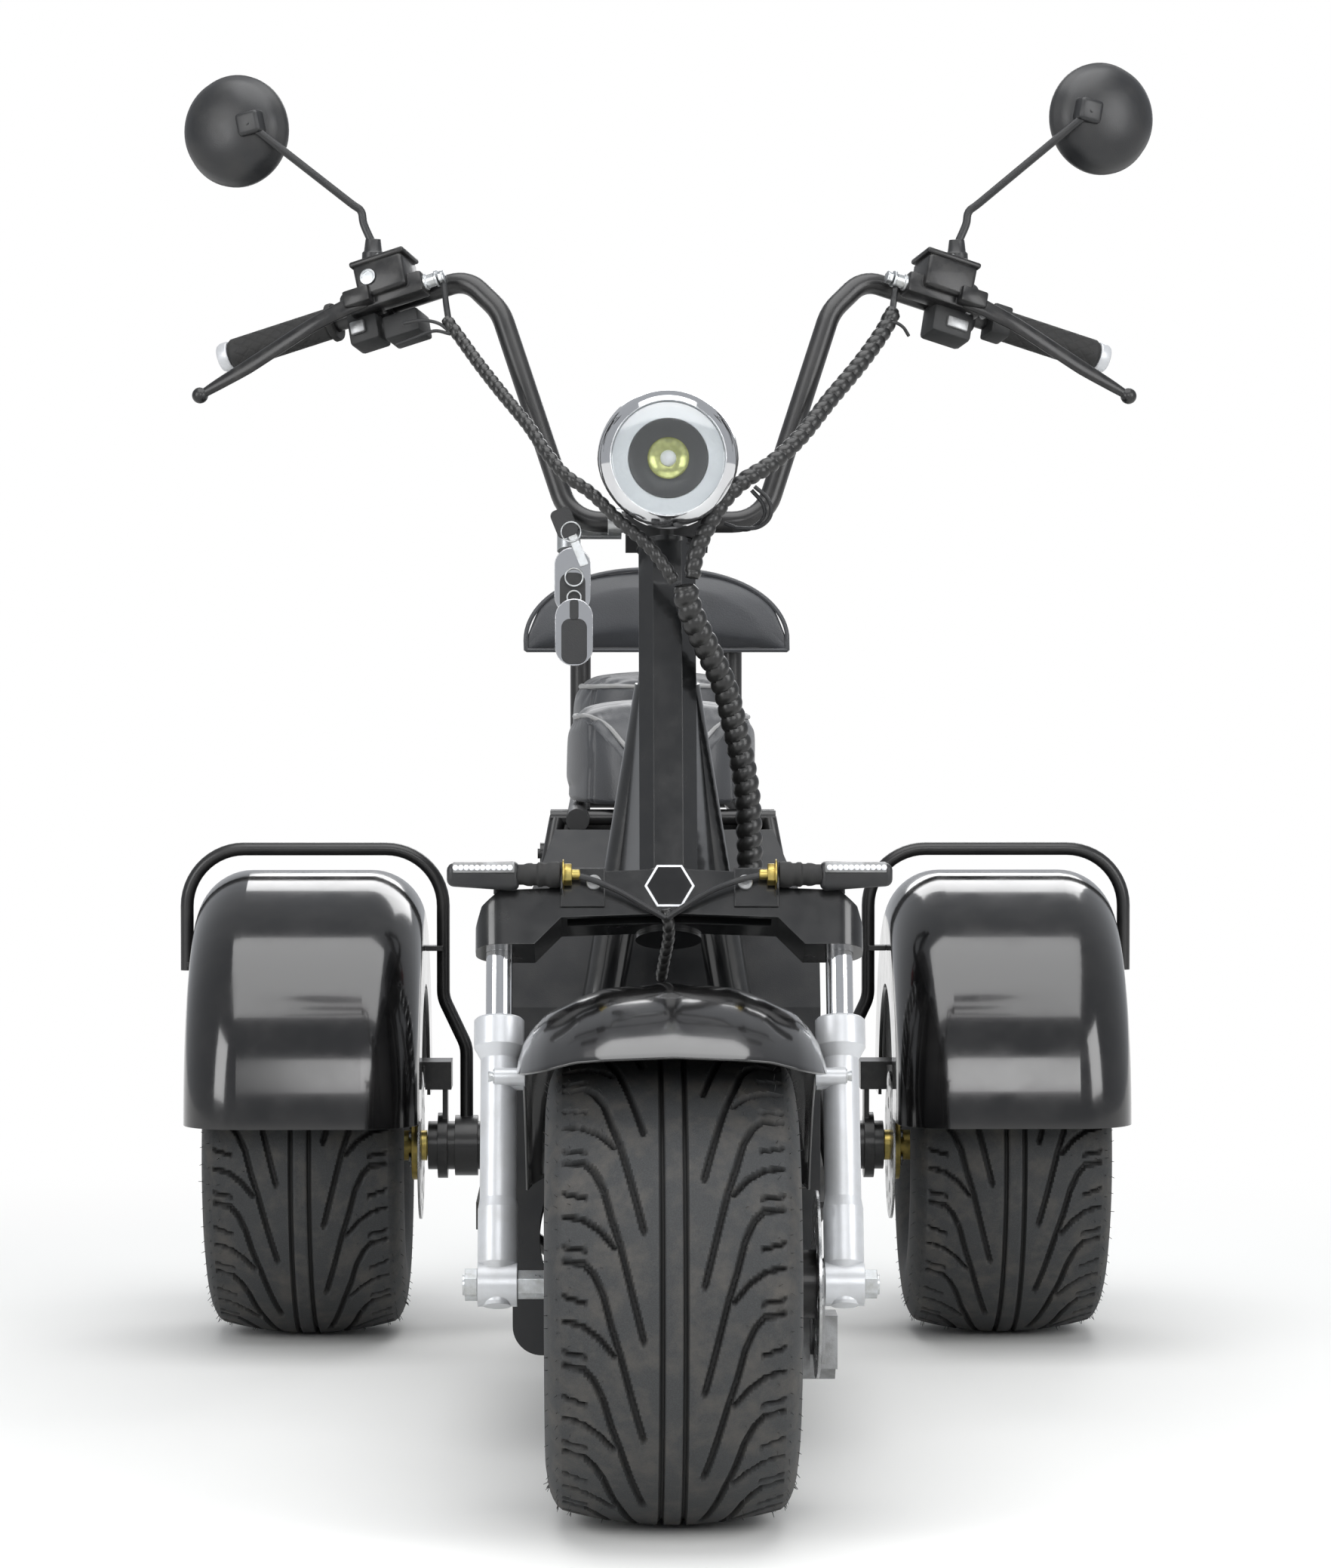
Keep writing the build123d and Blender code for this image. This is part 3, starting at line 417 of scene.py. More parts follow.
def tyreMesh():
    shape = tyreShape
    bm = bmesh.new()
    columns = shape["across"] + 2 * shape["wall"]
    bmesh.ops.create_grid(bm, x_segments=shape["around"], y_segments=columns, size=0.5)
    places = np.array([v.co for v in bm.verts])
    turn = (places[:, 0] + 0.5) * 360
    column = (places[:, 1] + 0.5) * columns
    middle = shape["wall"]
    share = np.clip((column - middle) / shape["across"], 0, 1)
    x = (share * 2 - 1) * shape["treadHalf"]
    bulge = 1 - (x / shape["treadHalf"]) ** 2
    radius = shape["treadEdge"] + (shape["crownRadius"] - shape["treadEdge"]) * bulge
    depth = grooveDepthAt(x * 1000, turn)
    depth = depth * np.clip((shape["treadHalf"] + 0.0005 - np.abs(x)) / 0.004, 0, 1)
    radius = radius - depth * shape["grooveDepth"]
    # sidewall: bead, chafer, widest place, shoulder, tread edge
    wall = np.array([(0.082, shape["beadRadius"]), (shape["beadHalf"], shape["beadRadius"] + 0.001),
                     (shape["beadHalf"], shape["chaferRadius"]), (0.1035, 0.128), (0.1150, 0.142),
                     (0.1203, 0.156), (0.1200, 0.172), (0.1178, 0.188), (0.1155, 0.197),
                     (shape["shoulder"], shape["shoulderRadius"]), (0.1093, 0.2095),
                     (shape["treadHalf"], shape["treadEdge"])])
    steps = np.linspace(0, middle, len(wall))
    for sign, edge in ((-1, middle - column), (1, column - middle - shape["across"])):
        on = edge > 0
        x[on] = sign * np.interp(middle - edge[on], steps, wall[:, 0])
        radius[on] = np.interp(middle - edge[on], steps, wall[:, 1])
    angle = np.radians(turn)
    # each point keeps its groove depth; the rubber material uses it to paint shade on the groove floors
    layer = bm.verts.layers.float.new("depth")
    for vert, vx, vr, va, deep in zip(bm.verts, x, radius, angle, depth):
        vert.co = (vx, -vr * math.cos(va), vr * math.sin(va))
        vert[layer] = float(deep)
    seam = [v for v, place in zip(bm.verts, places) if abs(place[0]) > 0.4999]
    bmesh.ops.remove_doubles(bm, verts=seam, dist=1e-5)
    bmesh.ops.bridge_loops(bm, edges=[e for e in bm.edges if e.is_boundary])
    bmesh.ops.recalc_face_normals(bm, faces=bm.faces)
    mesh = bpy.data.meshes.new("tyre_tread")
    bm.to_mesh(mesh)
    bm.free()
    return mesh


def placeTyre(mesh, node, body, centreX, centreY, seed):
    for name, build in (("_tread", lambda bm: bm.from_mesh(mesh)), ("_hairs", lambda bm: addMouldHairs(bm, seed))):
        bm = bmesh.new()
        build(bm)
        bmesh.ops.translate(bm, vec=(centreX, centreY, axleHeight), verts=bm.verts)
        replaced = (node,) if name == "_tread" else ()
        addPiece(node + name, bm, body, "tyreRubber", replaced, 40, turned=False)


def addMouldHairs(bm, seed):
    # Vent hairs of 4 to 7 mm left by the mould, on the shoulders and the outer tread
    hairs = dict(rows=[(0.1165, 0.192, 60), (0.108, 0.2105, 70), (0.096, 0.2162, 56), (0.066, 0.2226, 40)],
                 length=(0.003, 0.007), radius=0.00045)
    rng = random.Random(seed)
    for sign in (-1, 1):
        for x, r, count in hairs["rows"]:
            for index in range(count):
                turn = math.tau * (index + rng.uniform(-0.3, 0.3)) / count
                outward = Vector((sign * (0.9 if r < 0.2 else 0.35), -math.cos(turn), math.sin(turn))).normalized()
                outward += Vector([rng.uniform(-0.35, 0.35) for _ in range(3)])
                foot = Vector((sign * x, -r * math.cos(turn), r * math.sin(turn)))
                length = rng.uniform(*hairs["length"])
                tip = foot + outward.normalized() * length
                if Vector((0, tip.y, tip.z)).length > tyreShape["crownRadius"]:
                    continue
                bmesh.ops.create_cone(bm, cap_ends=True, segments=4, radius1=hairs["radius"],
                                      radius2=hairs["radius"] * 0.6, depth=length,
                                      matrix=pointing((foot + tip) / 2, outward))


mouldedTyre = tyreMesh()
for tyreNode, tyreBody, tyreX, tyreY, hairSeed in (("front_tyre", "front_wheel", 0.0, frontAxleY, 3),
                                                   ("rear_tyre_left", "rear_wheel_left", 0.423, rearAxleY, 5),
                                                   ("rear_tyre_right", "rear_wheel_right", -0.423, rearAxleY, 7)):
    placeTyre(mouldedTyre, tyreNode, tyreBody, tyreX, tyreY, hairSeed)
print("tyres")


# Saddle, pillion and backrest: crowned pads, swollen by cloth, with sewn pleats and piping

pads = {
    "saddle": dict(centre=(0.0, 0.765), half=(0.107, 0.180), low=0.6695, high=0.766, corner=2.6, pullIn=0.06,
                   crown=0.012, noseDrop=0.070, noseFrom=-0.45, pleat=0.034, pressure=3.0, swell=0.004),
    "pillion": dict(centre=(0.0, 1.072), half=(0.100, 0.137), low=0.6695, high=0.797, corner=3.0, pullIn=0.05,
                    crown=0.010, noseDrop=0.0, noseFrom=0.0, pleat=0.034, pressure=3.0, swell=0.004),
}
pleatDepth = 0.0042
pipingRadius = 0.0027


def padEdge(pad, turn):
    # Plan outline of a pad: a rounded rectangle as a superellipse
    power = 2 / pad["corner"]
    c, s = math.cos(turn), math.sin(turn)
    return (math.copysign(abs(c) ** power, c) * pad["half"][0], math.copysign(abs(s) ** power, s) * pad["half"][1])


def noseFall(pad, along, across):
    # How far the top panel falls at the front middle: along is -1 at the nose, across 0 at the middle
    if not pad["noseDrop"] or along > pad["noseFrom"]:
        return 0.0
    into = (pad["noseFrom"] - along) / (1 + pad["noseFrom"])
    middle = max(0.0, 1 - (abs(across) / 0.85) ** 2.2)
    return pad["noseDrop"] * into ** 1.6 * middle


def inflate(bm, name, pressure, cap):
    # Cloth swells the pad from inside; no point moves further than the cap
    mesh = bpy.data.meshes.new(name + "_form")
    bm.to_mesh(mesh)
    form = bpy.data.objects.new(name + "_form", mesh)
    bpy.context.scene.collection.objects.link(form)
    rest = [v.co.copy() for v in mesh.vertices]
    cloth = form.modifiers.new("swell", "CLOTH")
    cloth.settings.use_pressure = True
    cloth.settings.uniform_pressure_force = pressure
    cloth.settings.effector_weights.gravity = 0
    cloth.settings.quality = 4
    cloth.point_cache.frame_start = 1
    cloth.point_cache.frame_end = 20
    scene = bpy.context.scene
    for step in range(1, 21):
        scene.frame_set(step)
    swollen = form.evaluated_get(bpy.context.evaluated_depsgraph_get()).to_mesh()
    moved = [v.co.copy() for v in swollen.vertices]
    bm.verts.ensure_lookup_table()
    for vert, start, end in zip(bm.verts, rest, moved):
        shift = end - start
        if shift.length > cap:
            shift = shift.normalized() * cap
        vert.co = start + shift
    scene.frame_set(1)
    bpy.data.objects.remove(form)


def buildPad(name, pad):
    bm = bmesh.new()
    bmesh.ops.create_cube(bm, size=2)
    bmesh.ops.subdivide_edges(bm, edges=bm.edges, cuts=15, use_grid_fill=True)
    low, high = pad["low"], pad["high"]
    for vert in bm.verts:
        x, y, z = vert.co
        reach = max(abs(x), abs(y))
        turn = math.atan2(y, x)
        edgeX, edgeY = padEdge(pad, turn)
        inward = 1 - pad["pullIn"] * ((z + 1) / 2) ** 1.5
        across, along = edgeX * reach * inward, edgeY * reach * inward
        up = (z + 1) / 2
        top = high + pad["crown"] * (1 - reach ** 2.4)
        top -= noseFall(pad, along / pad["half"][1], across / pad["half"][0])
        lift = low + (top - low) * up
        vert.co = atStation(pad["centre"][0] + across, pad["centre"][1] + along, lift)
    soft = [e for e in bm.edges if e.calc_face_angle(0) > math.radians(60)]
    bmesh.ops.bevel(bm, geom=soft, offset=0.006, segments=3, profile=0.5, affect="EDGES", material=-1)
    bmesh.ops.subdivide_edges(bm, edges=bm.edges, cuts=1, use_grid_fill=True, smooth=0.0)
    inflate(bm, name, pad["pressure"], pad["swell"])
    centreY = frontAxleY + pad["centre"][1]
    bm.normal_update()
    for vert in bm.verts:
        if vert.normal.z > 0.45:
            along = vert.co.y - centreY
            inner = 1 - max(abs(vert.co.x) / (pad["half"][0] * 0.86), abs(along) / (pad["half"][1] * 0.9))
            fade = min(1.0, max(0.0, inner * 9))
            arc = along + 0.35 * abs(vert.co.x) ** 2 / pad["half"][0]
            wave = abs(math.sin(math.pi * arc / pad["pleat"]))
            vert.co.z -= pleatDepth * fade * (1 - min(1.0, wave * 1.9)) ** 1.5
        if vert.co.z < pad["low"]:
            vert.co.z = pad["low"]
    tree = BVHTree.FromBMesh(bm)
    rounds = 96
    ring = []
    for index in range(rounds):
        turn = math.tau * index / rounds
        edgeX, edgeY = padEdge(pad, turn)
        inward = (1 - pad["pullIn"]) * 0.985
        across, along = edgeX * inward, edgeY * inward
        nose = max(0.0, min(1.0, (pad["noseFrom"] - along / pad["half"][1]) / (1 + pad["noseFrom"])))
        across *= 1 - 0.5 * (nose if pad["noseDrop"] else 0) ** 1.5
        top = pad["high"] - 0.002 - noseFall(pad, along / pad["half"][1], across / pad["half"][0])
        place = atStation(pad["centre"][0] + across, pad["centre"][1] + along, top)
        near, normal, _, _ = tree.find_nearest(place)
        ring.append(near + normal * pipingRadius * 0.35)
    piece = addPiece(name + "_pad", bm, "chassis", "seatVinyl", (name,), 60)
    smoother = piece.modifiers.new("smooth", "SUBSURF")
    smoother.levels = smoother.render_levels = 1
    for _ in range(2):
        ring = [(a + b * 2 + c) / 4 for a, b, c in zip(ring[-1:] + ring[:-1], ring, ring[1:] + ring[:1])]
    piping = bmesh.new()
    tube(piping, ring, pipingRadius, 8, closed=True)
    addPiece(name + "_piping", piping, "chassis", "palePiping")


# The backrest: tip is its height at the ends, bow how far the ends come forward
rest = dict(half=0.158, low=0.836, high=0.934, front=1.217, back=1.262, tip=0.012, bow=0.020, roundness=2.3,
            pressure=3.0, swell=0.003)


def backrestHeight(x):
    arch = math.sqrt(max(0.0, 1 - abs(x) ** rest["roundness"]))
    return rest["tip"] + (rest["high"] - rest["low"] - rest["tip"]) * arch


def buildBackrest():
    middle = (rest["front"] + rest["back"]) / 2
    bm = bmesh.new()
    bmesh.ops.create_cube(bm, size=2)
    bmesh.ops.subdivide_edges(bm, edges=bm.edges, cuts=19, use_grid_fill=True)
    for vert in bm.verts:
        x, y, z = vert.co
        puff = (1 - abs(x) ** 4) * (1 - abs(z) ** 4)
        deep = (rest["back"] - rest["front"]) / 2 * (0.5 + 0.5 * puff)
        bow = rest["bow"] * x * x
        vert.co = atStation(x * rest["half"], middle + y * deep - bow + 0.008,
                            rest["low"] + backrestHeight(x) * (z + 1) / 2)
    bmesh.ops.subdivide_edges(bm, edges=bm.edges, cuts=1, use_grid_fill=True, smooth=0.0)
    inflate(bm, "backrest", rest["pressure"], rest["swell"])
    piece = addPiece("backrest_pad", bm, "chassis", "seatVinyl", ("backrest",), 60)
    smoother = piece.modifiers.new("smooth", "SUBSURF")
    smoother.levels = smoother.render_levels = 1
    ring = []
    for index in range(96):
        turn = math.tau * index / 96
        x, z = math.cos(turn), math.sin(turn)
        level = rest["low"] + (backrestHeight(x) if z > 0 else 0)
        ring.append(atStation(x * rest["half"], middle - rest["bow"] * x * x - 0.004, level))
    piping = bmesh.new()
    tube(piping, ring, pipingRadius, 8, closed=True)
    addPiece("backrest_piping", piping, "chassis", "seatVinyl")


for padName, padSettings in pads.items():
    buildPad(padName, padSettings)
buildBackrest()
print("seat")


# Headlight: chrome bowl with a pointed chin, bezel, white ring, dark dish and LED reflector

lamp = dict(place=(0.0, -0.108, 0.828), bowl=0.071)


def buildHeadlight():
    centre = onFork(*lamp["place"])
    facing = pointing(centre, (0, -1, 0))
    bm = bmesh.new()
    turnOutline(bm, [(-0.058, 0.0), (-0.056, 0.020), (-0.046, 0.040), (-0.028, 0.058), (-0.006, 0.069),
                     (0.014, 0.0705), (0.026, 0.067), (0.036, 0.0605), (0.0385, 0.0575), (0.036, 0.0565),
                     (0.028, 0.0565), (0.024, 0.0)], facing, 72)
    for vert in bm.verts:
        offset = vert.co - centre
        squeeze = 1 - 0.10 * max(0.0, -offset.z / lamp["bowl"]) ** 1.5
        peak = 1 + 0.16 * max(0.0, offset.z / lamp["bowl"]) ** 2 * max(0.0, min(1.0, (-offset.y + 0.01) / 0.03))
        vert.co.x = centre.x + offset.x * squeeze
        vert.co.z = centre.z + offset.z
        if offset.y < -0.030:
            vert.co.y = centre.y + offset.y * peak
    bmesh.ops.create_cube(bm, size=1, matrix=Matrix.Translation(onFork(0, -0.045, 0.814))
                          @ forkTurn.to_4x4() @ Matrix.Diagonal((0.024, 0.05, 0.012, 1)))
    addPiece("headlight_bowl", bm, "steering", "chromePlate", ("headlight_shell",), 30)
    rings = {
        "headlight_white_ring": ("whiteEnamel", [(0.0255, 0.0565), (0.030, 0.056), (0.030, 0.040), (0.0255, 0.0395)]),
        "headlight_dish": ("satinPlastic", [(0.0255, 0.0398), (0.031, 0.0396), (0.0265, 0.030), (0.0262, 0.020)]),
        "headlight_reflector": ("ledReflector", [(0.0335, 0.0207), (0.031, 0.0185), (0.0275, 0.010), (0.0268, 0.0)]),
        "headlight_led": ("whiteEnamel", [(0.0268, 0.0083), (0.0300, 0.0077), (0.0320, 0.0055), (0.0332, 0.0)]),
    }
    for name, (finish, outline) in rings.items():
        bm = bmesh.new()
        turnOutline(bm, outline, facing, 64)
        addPiece(name, bm, "steering", finish)
    glass = bmesh.new()
    turnOutline(glass, [(0.0335, 0.0), (0.0345, 0.03), (0.0335, 0.0555), (0.0318, 0.0560), (0.0325, 0.03),
                        (0.0315, 0.0)], facing, 64)
    addPiece("headlight_glass", glass, "steering", "clearLens", ("headlight_lens",), 40)


buildHeadlight()
print("headlight")


# Looms: spiral-wrapped wires from the controls, joined to one down the neck

def wrappedTube(bm, points, radius, pitch, depth, around=18):
    # A grid wrapped round a smooth path, its bands bulging between the turns of the wrap
    path = smoothPath(points, 14)
    lengths = [0.0]
    for a, b in zip(path, path[1:]):
        lengths.append(lengths[-1] + (b - a).length)
    count = max(8, int(lengths[-1] / pitch * 8))
    stations = np.linspace(0, lengths[-1], count + 1)
    line = [Vector(tuple(np.interp(s, lengths, [p[k] for p in path]) for k in range(3))) for s in stations]
    side = Vector((1, 0, 0))
    frames = []
    for index, point in enumerate(line):
        ahead = line[min(index + 1, count)] - line[max(index - 1, 0)]
        ahead.normalize()
        side = (side - ahead * side.dot(ahead)).normalized()
        frames.append((point, side.copy(), ahead.cross(side)))
    bmesh.ops.create_grid(bm, x_segments=count, y_segments=around, size=0.5)
    for vert in bm.verts:
        index = min(count, round((vert.co.x + 0.5) * count))
        turn = (vert.co.y + 0.5) * math.tau
        point, first, second = frames[index]
        phase = stations[index] / pitch - (vert.co.y + 0.5)
        bulge = abs(math.sin(math.pi * phase)) ** 0.55
        ends = min(index, count - index) / 3
        reach = (radius - depth * (1 - bulge)) * (1 if ends >= 1 else 0.8 + 0.2 * ends)
        vert.co = point + (first * math.cos(turn) + second * math.sin(turn)) * reach
    bmesh.ops.remove_doubles(bm, verts=bm.verts, dist=1e-5)
    bmesh.ops.holes_fill(bm, edges=[e for e in bm.edges if e.is_boundary], sides=64)


def photoPoint(px, py, station):
    # A place in the photograph, at a known distance behind the front axle
    scale = photograph["focalPixels"] / (station - photograph["cameraStation"])
    x = (px - (photograph["vanishX"] - photograph["cameraX"] * scale)) / scale
    z = photograph["cameraHeight"] - (py - photograph["levelY"]) / scale
    return atStation(x, station, z)


# Routes in the photograph: pixel, pixel, metres behind the front axle
looms = {
    "loom_right_control": dict(body="steering", radius=0.0068, pitch=0.0105, depth=0.0018, route=[
        (592, 424, 0.384), (610, 448, 0.374), (636, 484, 0.348), (664, 520, 0.318), (700, 564, 0.285),
        (724, 600, 0.262), (750, 630, 0.244), (784, 654, 0.236), (821, 690, 0.226), (856, 720, 0.219),
        (880, 749, 0.214), (894, 772, 0.214)]),
    "loom_left_control": dict(body="steering", radius=0.0090, pitch=0.0125, depth=0.0022, route=[
        (1184, 412, 0.398), (1170, 440, 0.386), (1140, 482, 0.356), (1100, 530, 0.320), (1060, 580, 0.282),
        (1023, 614, 0.258), (985, 638, 0.242), (958, 665, 0.232), (936, 702, 0.224), (922, 735, 0.218),
        (917, 766, 0.214)]),
    "front_loom": dict(body="steering", radius=0.0062, pitch=0.0095, depth=0.0014, route=[
        (883, 1205, 0.088), (886, 1224, 0.090), (886, 1244, 0.098), (881, 1270, 0.112), (876, 1298, 0.128)]),
    "loom_trunk": dict(body="chassis", radius=0.0135, pitch=0.0142, depth=0.0030, route=[
        (908, 776, 0.212), (912, 800, 0.215), (924, 831, 0.222), (944, 873, 0.236), (961, 912, 0.250),
        (972, 956, 0.262), (982, 1000, 0.270), (990, 1050, 0.276), (993, 1100, 0.280), (994, 1160, 0.286),
        (990, 1215, 0.296)]),
}
for loomName, loom in looms.items():
    loomMesh = bmesh.new()
    loomPath = [photoPoint(*place) for place in loom["route"]]
    wrappedTube(loomMesh, loomPath, loom["radius"], loom["pitch"], loom["depth"])
    addPiece(loomName, loomMesh, loom["body"], "spiralSleeve")

# Thin wires: signals to the badge, the loops beside the lamp, the hoses under the banjo bolts, the switches' wires
wires = {
    "signal_wires": dict(body="steering", radius=0.0030, routes=[
        [(762, 1160, 0.0926), (790, 1168, 0.086), (824, 1183, 0.084), (856, 1202, 0.084), (882, 1217, 0.084)],
        [(1010, 1160, 0.0926), (982, 1166, 0.086), (944, 1180, 0.084), (910, 1200, 0.084), (884, 1217, 0.084)]]),
    "lamp_wires": dict(body="steering", radius=0.0021, routes=[
        [(1000, 645, 0.236), (1018, 662, 0.238), (1021, 684, 0.240), (1004, 699, 0.244), (974, 700, 0.250)],
        [(996, 650, 0.240), (1011, 668, 0.242), (1012, 686, 0.246), (990, 702, 0.250), (960, 694, 0.254)]]),
    "banjo_hoses": dict(body="steering", radius=0.0034, routes=[
        [(588, 368, 0.396), (590, 384, 0.392), (592, 404, 0.388), (596, 430, 0.382)],
        [(1188, 368, 0.402), (1186, 384, 0.400), (1184, 400, 0.399), (1182, 416, 0.397)]]),
    "switch_wires": dict(body="steering", radius=0.0018, routes=[
        [(536, 430, 0.392), (560, 426, 0.386), (582, 430, 0.382), (598, 442, 0.378)],
        [(526, 458, 0.392), (548, 450, 0.386), (576, 440, 0.382), (598, 444, 0.378)],
        [(1204, 446, 0.392), (1196, 434, 0.388), (1184, 428, 0.386), (1172, 432, 0.386)]]),
}
for wireName, wire in wires.items():
    wireMesh = bmesh.new()
    for route in wire["routes"]:
        tube(wireMesh, smoothPath([photoPoint(*place) for place in route], 8), wire["radius"], 8)
    addPiece(wireName, wireMesh, wire["body"], "satinPlastic")
print("looms")


# Controls on the bars, drawn on the left outer run and mirrored: X forwards, Y down, Z outwards

# The run's ends in fork axes; control is the clamps' place along it, grip the length of rubber at its end
barRun = dict(inner=(0.206, 0.006, 1.076), outer=(0.456, 0.110, 1.035), control=0.095, grip=0.122,
              gripRadius=0.0165)
control = barRun["control"]


def barMatrix(side):
    inner, outer = Vector(barRun["inner"]), Vector(barRun["outer"])
    out = (outer - inner).normalized()
    ahead = Vector((0, -1, 0))
    ahead = (ahead - out * ahead.dot(out)).normalized()
    turned = Matrix((ahead, out.cross(ahead), out)).transposed().to_4x4()
    return Matrix.Diagonal((side, 1, 1, 1)) @ forkAxes @ Matrix.Translation(inner) @ turned


barLength = (Vector(barRun["outer"]) - Vector(barRun["inner"])).length


def placeBevelled(bm, made, edges, matrix, offset, segments):
    # Rounds edges of a block drawn about the origin, then moves the whole block by the matrix
    bevelled = bmesh.ops.bevel(bm, geom=edges, offset=offset, segments=segments, profile=0.5, affect="EDGES",
                               material=-1)
    verts = {v for f in bevelled["faces"] for v in f.verts} | {v for v in made if v.is_valid}
    bmesh.ops.transform(bm, matrix=matrix, verts=list(verts))


def addBlock(bm, matrix, place, size, edge, segments=2, taper=(1, 1)):
    # A bevelled box; taper narrows its top in Z by the given shares of X and Y
    made = bmesh.ops.create_cube(bm, size=1)["verts"]
    for vert in made:
        if vert.co.z > 0:
            vert.co.x *= taper[0]
            vert.co.y *= taper[1]
        vert.co = [vert.co[k] * size[k] + place[k] for k in range(3)]
    placeBevelled(bm, made, list({e for v in made for e in v.link_edges}), matrix, edge, segments)


def addPlate(bm, matrix, width, height, thick, corner):
    # A flat plate in X and Z with round corners
    made = bmesh.ops.create_cube(bm, size=1)["verts"]
    bmesh.ops.scale(bm, vec=(width, thick, height), verts=made)
    upright = [e for e in {e for v in made for e in v.link_edges}
               if abs((e.verts[0].co - e.verts[1].co).y) > thick * 0.9]
    placeBevelled(bm, made, upright, matrix, corner, 8)


def buildGrips():
    grip = dict(groove=0.0009, diamonds=9, along=7, steps=(126, 90))
    start = barLength - barRun["grip"]
    for side, name in ((1, "left"), (-1, "right")):
        bm = bmesh.new()
        bmesh.ops.create_grid(bm, x_segments=grip["steps"][0], y_segments=grip["steps"][1], size=0.5)
        for vert in bm.verts:
            along, turn = vert.co.x + 0.5, vert.co.y + 0.5
            first = abs(math.sin(math.pi * (along * grip["along"] + turn * grip["diamonds"])))
            second = abs(math.sin(math.pi * (along * grip["along"] - turn * grip["diamonds"])))
            cut = max(0.0, 1 - min(first, second) * 4) * (1 if 0.1 < along < 0.93 else 0)
            ends = min(1.0, min(along, 1 - along) * 40)
            radius = barRun["gripRadius"] * (0.9 + 0.1 * ends) - grip["groove"] * cut
            vert.co = (radius * math.cos(turn * math.tau), radius * math.sin(turn * math.tau),
                       start + 0.006 + along * (barRun["grip"] - 0.007))
        bmesh.ops.remove_doubles(bm, verts=bm.verts, dist=1e-5)
        bmesh.ops.holes_fill(bm, edges=[e for e in bm.edges if e.is_boundary], sides=256)
        flange = [(-0.001, 0.0115), (-0.001, 0.0195), (0.001, 0.0205), (0.005, 0.0205), (0.007, 0.0165),
                  (0.007, 0.0115), (-0.001, 0.0115)]
        turnOutline(bm, [(start + lift, radius) for lift, radius in flange], Matrix(), 40)
        bmesh.ops.transform(bm, matrix=barMatrix(side), verts=bm.verts)
        addPiece(name + "_grip", bm, "steering", "gripRubber", ("grips",) if side > 0 else ())
        cap = bmesh.new()
        end = barLength + 0.0005
        turnOutline(cap, [(end, 0.0), (end, 0.0150), (end + 0.001, 0.0158), (end + 0.009, 0.0156),
                          (end + 0.012, 0.0140), (end + 0.013, 0.0)], barMatrix(side), 40)
        addPiece(name + "_grip_cap", cap, "steering", "silverPaint")


def buildLevers():
    route = [(0.040, 0.004, 0.004), (0.046, 0.010, 0.026), (0.051, 0.019, 0.060), (0.050, 0.029, 0.098),
             (0.047, 0.040, 0.142), (0.044, 0.048, 0.182), (0.043, 0.053, 0.204)]
    route = [(x, y, control + z) for x, y, z in route]
    wide = [0.010, 0.0095, 0.0085, 0.0085, 0.0085, 0.0065, 0.0045]
    lever = dict(halfThick=0.0042, ball=0.0085)
    bm = bmesh.new()
    for side in (1, -1):
        path = smoothPath(route, 6)
        fresh = bmesh.new()
        rings = []
        for index, point in enumerate(path):
            share = index / (len(path) - 1) * (len(wide) - 1)
            half = float(np.interp(share, range(len(wide)), wide))
            ring = bmesh.ops.create_circle(fresh, cap_ends=False, segments=16, radius=1)["verts"]
            bmesh.ops.scale(fresh, vec=(lever["halfThick"], half, 1), verts=ring)
            bmesh.ops.translate(fresh, vec=point, verts=ring)
            rings.append(ring)
        bridgeRings(fresh, rings)
        bmesh.ops.create_uvsphere(fresh, u_segments=24, v_segments=16, radius=lever["ball"],
                                  matrix=Matrix.Translation(route[-1]))
        bmesh.ops.transform(fresh, matrix=barMatrix(side), verts=fresh.verts)
        mesh = bpy.data.meshes.new("lever")
        bmesh.ops.recalc_face_normals(fresh, faces=fresh.faces)
        fresh.to_mesh(mesh)
        fresh.free()
        bm.from_mesh(mesh)
    addPiece("brake_lever_pair", bm, "steering", "blackAlloy", ("brake_levers",))


